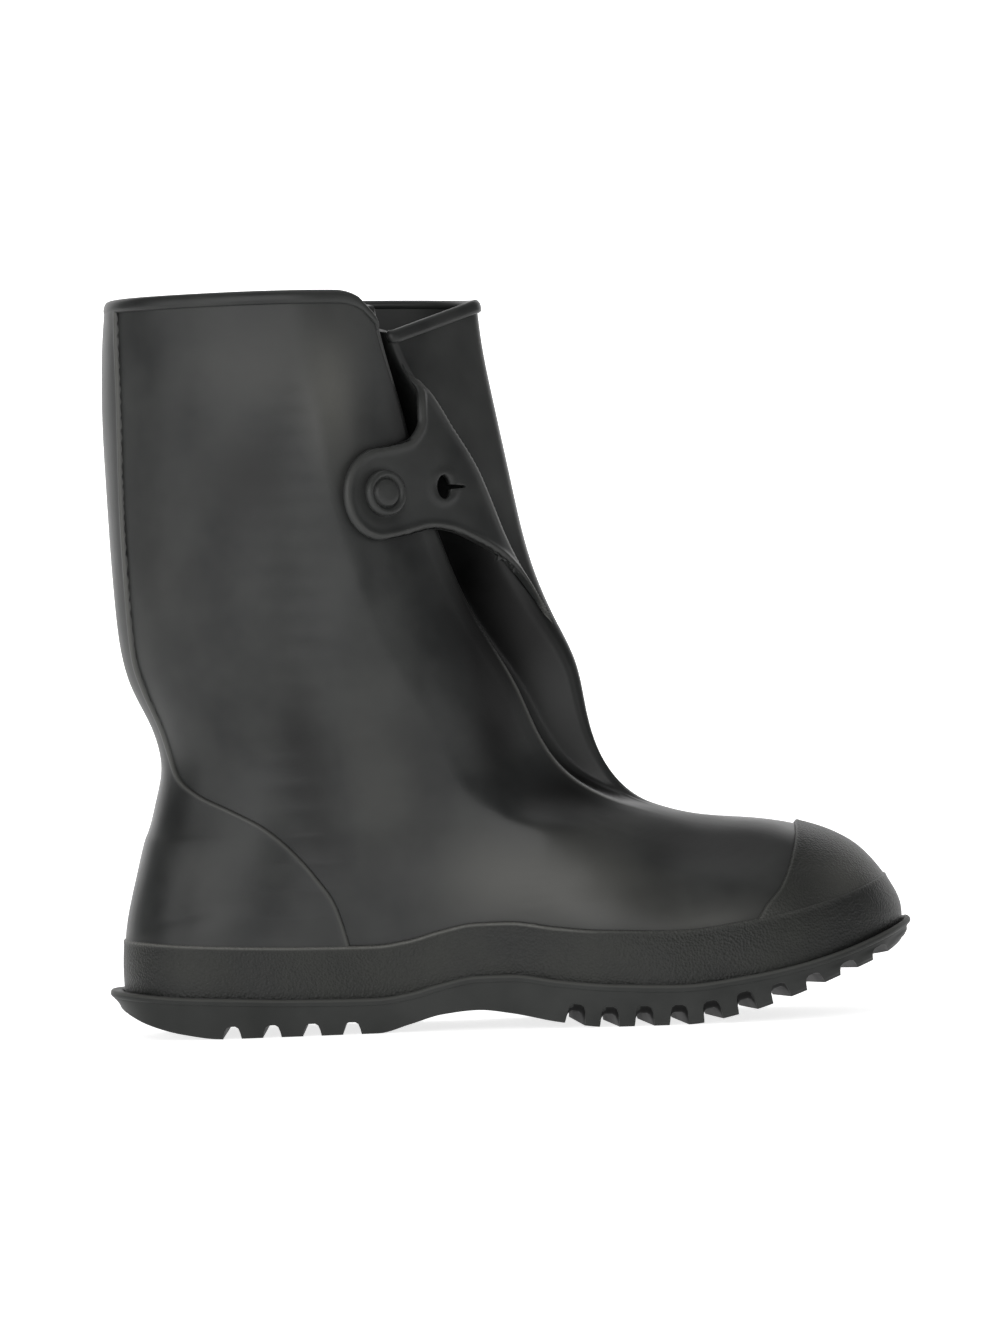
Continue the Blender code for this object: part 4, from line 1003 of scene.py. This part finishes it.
collar_points = beaded(outside[-1])
passed = lengths_along(collar_points)
wanted = np.linspace(0, passed[-1], BEAD_COLUMNS)
line = at_lengths(collar_points, passed, wanted)
line_out = unit(at_lengths(beaded(outward(outside, closed=True)[-1]), passed, wanted))
line_up = unit(at_lengths(beaded(outside[-1] - outside[-4]), passed, wanted))
nose = np.minimum(wanted, passed[-1] - wanted)
full = shoulder(nose, 2.2 * mm)
middle_out, middle_up = -0.5, -2.2
rows = []
for out, up in zip(SECTION["out"], SECTION["up"]):
    moved_out = (middle_out + (out - middle_out) * full) * mm
    moved_up = (middle_up + (up - middle_up) * full) * mm
    rows.append(line + line_out * moved_out[:, None] + line_up * moved_up[:, None])
collar_bead = laid_grid("collar_bead", np.stack(rows))
dress(collar_bead, upper_rubber, "upper_rubber", "collar_band")

# %% [markdown]
# ## Strap
#
# The strap grows out of the flap and reaches back over the bellows to the button. Seen from the
# side it is a broad tongue with a round end. Its surface first follows the near wall at a small
# distance, then spans the open bellows and runs onto the flap. Each row of its grid runs from the
# outline to the place where it meets the flap, so the rim can be rounded at the outline.

# %% The strap's surface
STRAP_TOP = table(
    "index along level meets",
    (0, 0.393, 2.885, 0.000),
    (1, 0.402, 2.841, 0.075),
    (2, 0.409, 2.799, 0.150),
    (3, 0.409, 2.752, 0.220),
    (4, 0.393, 2.722, 0.245),
    (5, 0.361, 2.7215, 0.285),
)
STRAP_BOTTOM = table(
    "index along level meets",
    (0, 0.361, 2.5465, 0.430),
    (1, 0.411, 2.546, 0.520),
    (2, 0.473, 2.506, 0.660),
    (3, 0.521, 2.451, 0.780),
    (4, 0.569, 2.358, 0.900),
    (5, 0.598, 2.291, 1.000),
)
BUTTON_ALONG, BUTTON_LEVEL, HOLE_ALONG, HOLE_LEVEL = 0.361, 2.634, 0.436, 2.617
STRAP_END_REACH, STRAP_STANDOFF, STRAP_LAP, STRAP_LIFTOFF = 13.5 * mm, 2.2 * mm, 4.5 * mm, 9 * mm


def strap_row(v):
    """The strap's inner face on ring v: near wall, bridge over the bellows, lap on the flap."""
    ends = ring_ends(v)
    edge, front = fold_points(v)[3], wall(v, 1.0, 1)
    tip_x = along(BUTTON_ALONG) - STRAP_END_REACH - 2 * mm
    crease_x = lerp(ends[0], ends[2], fold_value("crease", v))
    leave_x = min(along(BUTTON_ALONG) + STRAP_LIFTOFF, crease_x - STRAP_LIFTOFF)
    near = wall(v, (np.linspace(tip_x, leave_x, 60) - ends[0]) / (ends[2] - ends[0]), -1)
    near = near - np.array([0, STRAP_STANDOFF, 0])
    leaving, panel = unit(near[-1] - near[-2]), unit(front - edge)
    span = np.linalg.norm(edge - near[-1])
    t = np.linspace(0, 1, 80)[1:, None]
    bridge = (
        near[-1] * (2 * t**3 - 3 * t**2 + 1)
        + leaving * span * (t**3 - 2 * t**2 + t)
        + edge * (3 * t**2 - 2 * t**3)
        + panel * span * (t**3 - t**2)
    )
    return np.concatenate([near, bridge, [edge + panel * STRAP_LAP]])


def ring_through(line, index):
    """The ring that passes one end of a strap line."""
    x = along(line["along"][index])
    return float(level_at(x, rim_z(x) + rise(line["level"][index])))


strap_low, strap_high = ring_through(STRAP_BOTTOM, -1) - 0.4, ring_through(STRAP_TOP, 0) + 0.5
strap_rows = [strap_row(v) for v in np.linspace(strap_low, strap_high, 90)]
print("strap rings:", round(strap_low, 2), "to", round(strap_high, 2))


# %% Places on the strap by their side view
def strap_place(x, z):
    """Points of the strap's inner face that a side view shows at x and z."""
    row_z = np.stack([np.interp(x, r[:, 0], r[:, 2]) for r in strap_rows])
    row_y = np.stack([np.interp(x, r[:, 0], r[:, 1]) for r in strap_rows])
    y = np.array([np.interp(z[i], row_z[:, i], row_y[:, i]) for i in range(len(x))])
    return np.stack([x, y, z], axis=1)


def place_at(share, level):
    """The strap's inner face at a share of the sole's length and a level of height."""
    x = along(share)
    return strap_place(np.array([x]), np.array([float(rim_z(x) + rise(level))]))[0]


def lap_x(z):
    """Where the strap ends on the flap, by height."""
    ends = np.array([r[-1] for r in strap_rows])
    return np.interp(z, ends[:, 2], ends[:, 0])


top_x, top_z = edge_line(STRAP_TOP, 120)
bottom_x, bottom_z = edge_line(STRAP_BOTTOM, 160)
round_end = np.linspace(0, math.pi, 120)[1:-1]
end_middle, end_half = (top_z[-1] + bottom_z[0]) / 2, (top_z[-1] - bottom_z[0]) / 2
outline_x = np.concatenate([top_x, top_x[-1] - STRAP_END_REACH * np.sin(round_end), bottom_x])
outline_z = np.concatenate([top_z, end_middle + end_half * np.cos(round_end), bottom_z])
meets = np.concatenate([
    through(STRAP_TOP, "index", "meets", np.linspace(0, 5, 120)),
    lerp(STRAP_TOP["meets"][-1], STRAP_BOTTOM["meets"][0], round_end / math.pi),
    through(STRAP_BOTTOM, "index", "meets", np.linspace(0, 5, 160)),
])
outline = np.stack([outline_x, meets, outline_z], axis=1)
passed = lengths_along(outline * np.array([1, 0, 1]))
STRAP_ROWS, STRAP_COLUMNS = 220, 76
starts = at_lengths(outline, passed, np.linspace(0, passed[-1], STRAP_ROWS))
reach = np.linspace(0, 1, STRAP_COLUMNS + 1)
reach = lerp(reach, (1 - np.cos(reach * math.pi)) / 2, 0.6)
rows = []
for x, meet, z in starts:
    stop_z = lerp(outline_z[0], outline_z[-1], meet)
    stop_x = max(float(lap_x(stop_z)), x + 0.3 * mm)
    rows.append(strap_place(lerp(x, stop_x, reach), lerp(z, stop_z, reach)))
face = np.stack([row for row in rows if np.linalg.norm(row[-1] - row[0]) > 3 * mm])
print("strap rows kept:", len(face))

# %% Thickness, rim and keyhole's lip of the strap
face_out = outward(face)
face_out = np.where(face_out[..., 1:2] > 0, -face_out, face_out)
row_length = np.linalg.norm(face[:, -1] - face[:, 0], axis=-1)[:, None]
laps = np.stack([r[[-1, -12]] for r in strap_rows])
lap_out = unit(np.cross(laps[:, 0] - laps[:, 1], np.gradient(laps[:, 0], axis=0)))
lap_out = at_lengths(lap_out, laps[:, 0, 2], face[:, -1, 2])
off_lap = smooth((row_length - 4 * mm) / (8 * mm))[..., None]
face_out = unit(lerp(lap_out[:, None], face_out, off_lap))
to_rim = distance_to(face, np.concatenate([face[:, 0], face[0], face[-1]]))
to_lap = distance_to(face, face[:, -1])
half = STRAP_THICK / 2
full = shoulder(to_rim, 1.2 * mm) * shoulder(to_lap, 3.0 * mm)
rim_bead = 0.55 * mm * bead(to_rim, 2.0 * mm, 1.3 * mm)
hole_at = place_at(HOLE_ALONG, HOLE_LEVEL)
to_hole = np.linalg.norm((face - hole_at) * np.array([1, 0.5, 0.85]), axis=-1)
hole_lip = 0.5 * mm * bead(to_hole, 4.6 * mm, 1.3 * mm)
button_at = place_at(BUTTON_ALONG, BUTTON_LEVEL)
to_button = np.linalg.norm(face - button_at, axis=-1)
button_dish = -0.35 * mm * bead(to_button, 8.8 * mm, 2.0 * mm)
middle = lerp(0.9 * mm, GAP + half, smooth(to_lap / (7 * mm)))
to_top = distance_to(face, face[0])
ends_in = smooth((row_length - 3 * mm) / (6 * mm)) * smooth((to_top + 1 * mm) / (8 * mm))
over = middle + half * full + (rim_bead + hole_lip + button_dish) * full
below = middle - half * full
over, below = lerp(-0.8 * mm, over, ends_in), lerp(-1.0 * mm, below, ends_in)
top_skin = face + face_out * over[..., None]
under_skin = face + face_out * below[..., None]
under_skin[:, 0], under_skin[:, -1] = top_skin[:, 0], top_skin[:, -1]
# Painted highlight lines follow the strap's lap onto the flap and, fainter, its rim.
highlight_line = 0.55 * bead(to_lap, 0.8 * mm, 0.8 * mm) + 0.15 * bead(to_rim, 1.4 * mm, 0.8 * mm)
strap = skin_and_lining("buttoned_strap", top_skin, under_skin, highlight_line)

# %% [markdown]
# The strap has a spare keyhole, so that it can be buttoned wider over a thicker shoe: a tear
# shaped hole with a slit. Both holes are cut through with a Boolean, because the grid's columns
# don't follow them.

# %% Cut the holes
def frame_on_strap(point):
    """A matrix at a place of the strap: X forward, Y up along it, Z out of it."""
    x, z = point[0], point[2]
    ahead = strap_place(np.array([x - mm, x + mm]), np.array([z, z]))
    above = strap_place(np.array([x, x]), np.array([z - mm, z + mm]))
    forward, upward = unit(ahead[1] - ahead[0]), unit(above[1] - above[0])
    out = unit(np.cross(forward, upward))
    turned = Matrix(np.stack([forward, np.cross(out, forward), out], axis=1)).to_4x4()
    return Matrix.Translation(Vector(point)) @ turned


def hole_tool(name, frame_matrix, loop):
    bm = bmesh.new()
    verts = [bm.verts.new((x, y, -8 * mm)) for x, y in loop]
    bm.faces.new(verts)
    grown = bmesh.ops.extrude_face_region(bm, geom=list(bm.faces))
    moved = [part for part in grown["geom"] if isinstance(part, bmesh.types.BMVert)]
    bmesh.ops.translate(bm, verts=moved, vec=(0, 0, 16 * mm))
    bmesh.ops.recalc_face_normals(bm, faces=bm.faces)
    bmesh.ops.transform(bm, matrix=frame_matrix, verts=bm.verts)
    return shoe_piece(name, bm)


def carve(piece, tools):
    """Cut the tools out of the piece, keep the result as its mesh, and throw the tools away."""
    for tool in tools:
        joined = piece.modifiers.new(tool.name, "BOOLEAN")
        joined.operation, joined.solver, joined.object = "DIFFERENCE", "MANIFOLD", tool
    bpy.context.view_layer.update()
    solved = piece.evaluated_get(bpy.context.evaluated_depsgraph_get())
    mesh = bpy.data.meshes.new_from_object(solved)
    piece.modifiers.clear()
    piece.data = mesh
    for tool in tools:
        bpy.data.objects.remove(tool)
    print(f"{piece.name}: {len(piece.data.polygons)} faces after the cut")


turn = np.linspace(0.2, 2 * math.pi - 0.2, 27)
tear = [(3.3 * mm * math.cos(a), 4.6 * mm * math.sin(a)) for a in turn]
tear += [(10.0 * mm, -0.5 * mm), (10.6 * mm, 0.0), (10.0 * mm, 0.5 * mm)]
turn = np.linspace(0, 2 * math.pi, 33)[:-1]
eyelet = [(3.8 * mm * math.cos(a), 3.8 * mm * math.sin(a)) for a in turn]
button_frame, hole_frame = frame_on_strap(button_at), frame_on_strap(hole_at)
tear_tool = hole_tool("tear_tool", hole_frame, tear)
carve(strap, [tear_tool, hole_tool("eyelet_tool", button_frame, eyelet)])
dress(strap, upper_rubber, "upper_rubber", "strap")

# %% [markdown]
# ## Button
#
# The button is a turned rubber stud on the near wall. Its head has a round rim and a raised disc
# in the middle. A turned shape is made by spinning its half profile round the button's axis.

# %% Spin the button
PROFILE = [
    (0.0, -1.6), (6.0, -1.6), (6.0, -0.6), (3.4, -0.5), (3.2, 0.2), (3.2, 3.0), (7.4, 3.05),
    (8.2, 3.3), (8.6, 3.9), (8.6, 5.0), (8.3, 5.8), (7.6, 6.3), (6.9, 6.4), (6.2, 6.1), (5.8, 5.5),
    (5.5, 5.3), (5.2, 5.5), (4.9, 6.2), (4.3, 6.6), (2.6, 6.75), (0.0, 6.8),
]
bm = bmesh.new()
stud = [bm.verts.new((radius * mm, 0, height * mm)) for radius, height in PROFILE]
edges = [bm.edges.new(pair) for pair in zip(stud, stud[1:])]
bmesh.ops.spin(
    bm, geom=stud + edges, axis=(0, 0, 1), cent=(0, 0, 0), angle=2 * math.pi, steps=64, use_merge=True,
)
bmesh.ops.remove_doubles(bm, verts=bm.verts, dist=0.01 * mm)
bmesh.ops.recalc_face_normals(bm, faces=bm.faces)
bmesh.ops.transform(bm, matrix=button_frame, verts=bm.verts)
button = shoe_piece("rubber_button", bm, 50)
print("button:", len(button.data.polygons), "faces")
dress(button, upper_rubber, "upper_rubber", "button")

# %% [markdown]
# ## Outsole
#
# The outsole is pressed from harder rubber. Seen from the side it has a rounded lip at the top, a
# wall that draws in below it, and lugs with grooves between them. Its grid runs round the sole,
# and its rows go from the middle of the tray over the rim and the side wall to the middle of the
# tread. Ribs on the side wall carry on the lugs of the forefoot.

# %% The sole's plan
OUTLINE_STEPS = 240
RIM_HEIGHT, RIM_WIDTH, SIDE_TAPER = 3.2 * mm, 2.5 * mm, 2.2 * mm
LIP_HEIGHT, LIP_STEP, RIB_HEIGHT = 3.4 * mm, 1.0 * mm, 1.1 * mm
CLEAT_DEPTH, CLEAT_SHARE, CHEVRON = 4.6 * mm, 0.42, 5.5 * mm
NOTCH_RISE, NOTCH_REACH = 3.2 * mm, 4.2 * mm
HEEL_FIRST, HEEL_PITCH, HEEL_GROOVE, HEEL_GROOVES = 0.155, 14.8 * mm, 5.6 * mm, 4
BALL_FIRST, BALL_PITCH, BALL_GROOVE, BALL_GROOVES = 0.578, 12.8 * mm, 5.8 * mm, 10


SOLE_BACK = along(RINGS["back"][0])


def plan_side(side):
    x = lerp(SOLE_BACK, along(TOE_END), (1 - np.cos(np.linspace(0, math.pi, 2400))) / 2)
    y = plan_centre(x) + side * plan_half(x, SOLE_BACK)
    return even(np.stack([x, y, np.zeros(len(x))], axis=1), OUTLINE_STEPS)


near_side, far_side = plan_side(-1), plan_side(1)
feather = np.concatenate([near_side, far_side[::-1][1:]])
at_heel = feather[1:2] - feather[-2:-1]
run = np.concatenate([at_heel, feather[2:] - feather[:-2], at_heel])
plan_out = unit(np.stack([run[:, 1], -run[:, 0], np.zeros(len(run))], axis=1))
lip_share = through(SOLE_LINE, "along", "lip", share_at(feather[:, 0]))


def outline_at(offset, lip, height):
    """The sole's outline moved out from the feather line, at a height told by its x."""
    points = feather + plan_out * (offset + lip * lip_share * RIM_WIDTH)[..., None]
    points[:, 2] = height(points[:, 0])
    return points


def covered(loop, shares, height):
    """Rows that draw the loop in to its middle line, near and far points meeting in pairs."""
    middle = (loop + loop[::-1]) / 2
    middle[:, 1] = plan_centre(middle[:, 0])
    rows = [lerp(loop, middle, s) for s in shares]
    for row in rows:
        row[:, 2] = height(row[:, 0])
    return rows


# %% Side wall with lip and ribs
tray = GAP + FOXING_THICK + TRAY_GAP
across_rib = (share_at(feather[:, 0]) - BALL_FIRST) * SOLE_LENGTH / BALL_PITCH - 0.5
at_ball = smooth((across_rib + 0.6) / 0.4) * smooth((BALL_GROOVES - 0.4 - across_rib) / 0.6)
rib = at_ball * (0.5 + 0.5 * np.cos(2 * math.pi * across_rib)) ** 0.7
zero = np.zeros(len(feather))
side_rows = [
    outline_at(zero + tray, zero, lambda x: rim_z(x) - RIM_HEIGHT),
    outline_at(zero + tray, zero, lambda x: rim_z(x) - 0.8 * mm),
    outline_at(zero + tray + 0.2 * mm, zero, lambda x: rim_z(x) - 0.3 * mm),
    outline_at(zero + tray + 0.7 * mm, zero, rim_z),
]
for i in range(9):
    angle = math.pi * i / 8
    side_rows.append(outline_at(
        zero + tray - 0.9 * mm + 1.1 * mm * math.sin(angle), zero + 1,
        lambda x, a=angle: rim_z(x) - 1.4 * mm + 1.4 * mm * math.cos(a),
    ))
for s in np.linspace(0, 1, 12):
    ribs = rib * RIB_HEIGHT * smooth(s * 1.8 - 0.1) * smooth((1.06 - s) * 6)
    offset = zero + tray - LIP_STEP - SIDE_TAPER * s + ribs
    side_rows.append(outline_at(
        offset, zero + 1, lambda x, s=s: lerp(rim_z(x) - 3.2 * mm, tread_z(x) + 1.0 * mm, s),
    ))
for angle in np.linspace(0.3, math.pi / 2, 4):
    offset = zero + tray - LIP_STEP - SIDE_TAPER - 1.0 * mm * (1 - math.cos(angle))
    side_rows.append(outline_at(
        offset, zero + 1, lambda x, a=angle: tread_z(x) + 1.0 * mm * (1 - math.sin(a)),
    ))
inward = np.linspace(0, 1, 9)
tray_rows = covered(side_rows[0], inward[::-1][:-1], lambda x: rim_z(x) - RIM_HEIGHT)
tread_rows = covered(side_rows[-1], inward[1:], tread_z)
sole_rows = np.stack(tray_rows + side_rows + tread_rows)
# A painted highlight line lies along the top of the rounded lip.
highlight_line = np.zeros(sole_rows.shape[:2])
highlight_line[len(tray_rows) + 3 : len(tray_rows) + 8] = 0.35
outsole = laid_grid("cleated_outsole", sole_rows, 45, highlight_line)

# %% [markdown]
# The grooves are cut across with one tool each: a channel with a rounded roof, straight at the
# heel and swept to a shallow arrow under the ball. At the sole's edge the ball's channels rise
# into the side wall, so each lug hangs free there. Their faces are painted near black: painted shade in
# the grooves.

# %% Groove tools
GROOVE_SECTION = [
    (-0.66, -2.4), (-0.62, 0.0), (-0.54, 0.45), (-0.42, 0.84), (-0.22, 1.0), (0.22, 1.0),
    (0.42, 0.84), (0.54, 0.45), (0.62, 0.0), (0.66, -2.4), (-0.66, -2.4),
]


def groove_tool(name, x, width, chevron=0.0, notch=0.0):
    half = float(plan_half(x, SOLE_BACK)) + RIM_WIDTH
    slope = float(tread_z(x + 4 * mm) - tread_z(x - 4 * mm)) / (8 * mm)
    thick = float(rim_z(x) - tread_z(x))
    depth = min(CLEAT_DEPTH, CLEAT_SHARE * thick)
    notch = max(0.0, min(notch, thick - LIP_HEIGHT - 2 * LIP_STEP - depth))
    notch_start = half - NOTCH_REACH
    to_notch, to_edge = np.linspace(0, 1, 9)[:-1] * notch_start, half - NOTCH_REACH * np.linspace(1, 0, 5)
    reach = np.concatenate([to_notch, to_edge, [half + 20 * mm]])
    y = np.concatenate([-reach[::-1], reach[1:]])
    lift = notch * smooth((np.abs(y) - half + NOTCH_REACH) / NOTCH_REACH)
    middle_x = x - chevron * (1 - np.minimum(1, np.abs(y) / half))
    floor = float(tread_z(x)) + slope * (middle_x - x)
    rows = []
    for dx, dz in GROOVE_SECTION:
        up = dz * depth + np.where(dz > 0.3, lift, 0)
        groove_x = middle_x + dx * width - slope * up
        groove_z = floor + slope * dx * width + up
        rows.append(np.stack([groove_x, float(plan_centre(x)) + y, groove_z], axis=1))
    tool = laid_grid(name, np.stack(rows))
    bm = bmesh.new()
    bm.from_mesh(tool.data)
    bmesh.ops.holes_fill(bm, edges=[e for e in bm.edges if e.is_boundary])
    bmesh.ops.recalc_face_normals(bm, faces=bm.faces)
    bm.to_mesh(tool.data)
    bm.free()
    return tool


tools = []
for i in range(HEEL_GROOVES):
    groove_x = along(HEEL_FIRST) + HEEL_PITCH * i
    tools.append(groove_tool(f"heel_groove_{i}", groove_x, HEEL_GROOVE))
for i in range(BALL_GROOVES):
    groove_x = along(BALL_FIRST) + BALL_PITCH * i
    tools.append(groove_tool(f"ball_groove_{i}", groove_x, BALL_GROOVE, CHEVRON, NOTCH_RISE))
carve(outsole, tools)

# The painted shade is told by face here, so that it ends sharply at the grooves.
old = outsole.data.attributes.get("painted_light_patch")
if old:
    outsole.data.attributes.remove(old)
patch = outsole.data.attributes.new("painted_light_patch", "FLOAT", "FACE")
for polygon in outsole.data.polygons:
    polygon.use_smooth = True
    x, y, z = polygon.center
    half = float(plan_half(x, SOLE_BACK)) + 0.4 * RIM_WIDTH
    turned_in = abs(polygon.normal.x) > 0.6 or polygon.normal.z < -0.4
    in_groove = turned_in and z < float(rim_z(x)) - LIP_HEIGHT and abs(y - float(plan_centre(x))) < half
    patch.data[polygon.index].value = -0.9 if in_groove else 0.0
outsole.data.set_sharp_from_angle(angle=math.radians(35))
dress(outsole, sole_rubber, "outsole_rubber", "outsole")

# %% [markdown]
# ## Insole
#
# The insole is a plain sheet in the tray and hardly shows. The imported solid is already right, so
# it keeps its mesh and only gets its material.

# %% Insole material
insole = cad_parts["insole"]
insole.data.materials.clear()
insole.data.materials.append(sheet_rubber)

# %% [markdown]
# ## Floor, light and camera
#
# Black rubber shows its form only by what it reflects, so the size and place of the lights matter
# more than their strength. Floor and backdrop are white, and the surround is dim, so the rubber
# goes dark wherever it reflects no light box. A wide box in front makes the broad sheen on the
# side, and a gap at its right lets the wall fall off towards the bellows.

# %% Floor, backdrop and surround
def white_sheet(name, size, turn, place, glow):
    bm = bmesh.new()
    bmesh.ops.create_grid(bm, x_segments=1, y_segments=1, size=size)
    bmesh.ops.rotate(bm, verts=bm.verts, cent=(0, 0, 0), matrix=Matrix.Rotation(turn, 3, "X"))
    bmesh.ops.translate(bm, verts=bm.verts, vec=place)
    thing = shoe_piece(name, bm)
    paper = bpy.data.materials.new(name + "_paper")
    paper.use_nodes = True
    shader = paper.node_tree.nodes["Principled BSDF"]
    shader.inputs["Base Color"].default_value = colour("#ececec")
    shader.inputs["Roughness"].default_value = 0.9
    shader.inputs["Emission Color"].default_value = colour("#ffffff")
    shader.inputs["Emission Strength"].default_value = glow
    thing.data.materials.append(paper)


white_sheet("studio_floor", 9.0, 0.0, (0, 0, 0), 0.78)
white_sheet("studio_backdrop", 9.0, math.pi / 2, (0, 8.0, 0), 1.0)
surround = bpy.data.worlds.new("dim_surround")
surround.use_nodes = True
surround.node_tree.nodes["Background"].inputs["Color"].default_value = colour("#ffffff")
surround.node_tree.nodes["Background"].inputs["Strength"].default_value = 0.22
bpy.context.scene.world = surround


# %% Lights
def soft_light(name, place, size, glow):
    data = bpy.data.lights.new(name, "AREA")
    data.shape, data.size, data.size_y = "RECTANGLE", size[0], size[1]
    data.energy = math.pi * size[0] * size[1] * glow
    lamp = bpy.data.objects.new(name, data)
    lamp.location = place
    lamp.rotation_euler = (Vector((0.06, 0, 0.12)) - Vector(place)).to_track_quat("-Z", "Y").to_euler()
    lamp.visible_camera = False
    bpy.context.scene.collection.objects.link(lamp)
    print(name, "gives", round(data.energy), "W")


soft_light("front_box", (-0.9, -2.9, 0.95), (2.9, 1.9), 2.7)
soft_light("left_box", (-2.5, -1.4, 0.8), (1.0, 1.5), 2.2)
soft_light("right_box", (2.3, -1.9, 0.5), (0.7, 0.9), 1.6)
soft_light("overhead_box", (0.1, 0.1, 2.2), (1.5, 1.5), 1.2)

# %% Camera
FRAME_PIXELS, PIXELS_PER_MM, DISTANCE, ROLL = 1000, 2.665, 2.8, math.radians(2.13)
eye, aim = Vector((0.0811, -DISTANCE, 0.155)), Vector((0.0811, 0.0, 0.1338))
lens = bpy.data.cameras.new("studio_camera")
lens.sensor_fit = "HORIZONTAL"
lens.angle = 2 * math.atan(FRAME_PIXELS / PIXELS_PER_MM * mm / 2 / DISTANCE)
camera = bpy.data.objects.new("studio_camera", lens)
back = (eye - aim).normalized()
right = Vector((math.cos(ROLL), 0, -math.sin(ROLL)))
right = (right - back * right.dot(back)).normalized()
turned = Matrix((right, back.cross(right), back)).transposed()
camera.matrix_world = Matrix.Translation(eye) @ turned.to_4x4()
bpy.context.scene.collection.objects.link(camera)
bpy.context.scene.camera = camera
bpy.context.scene.view_settings.view_transform = "Standard"
print("camera covers", round(FRAME_PIXELS / PIXELS_PER_MM), "mm across")
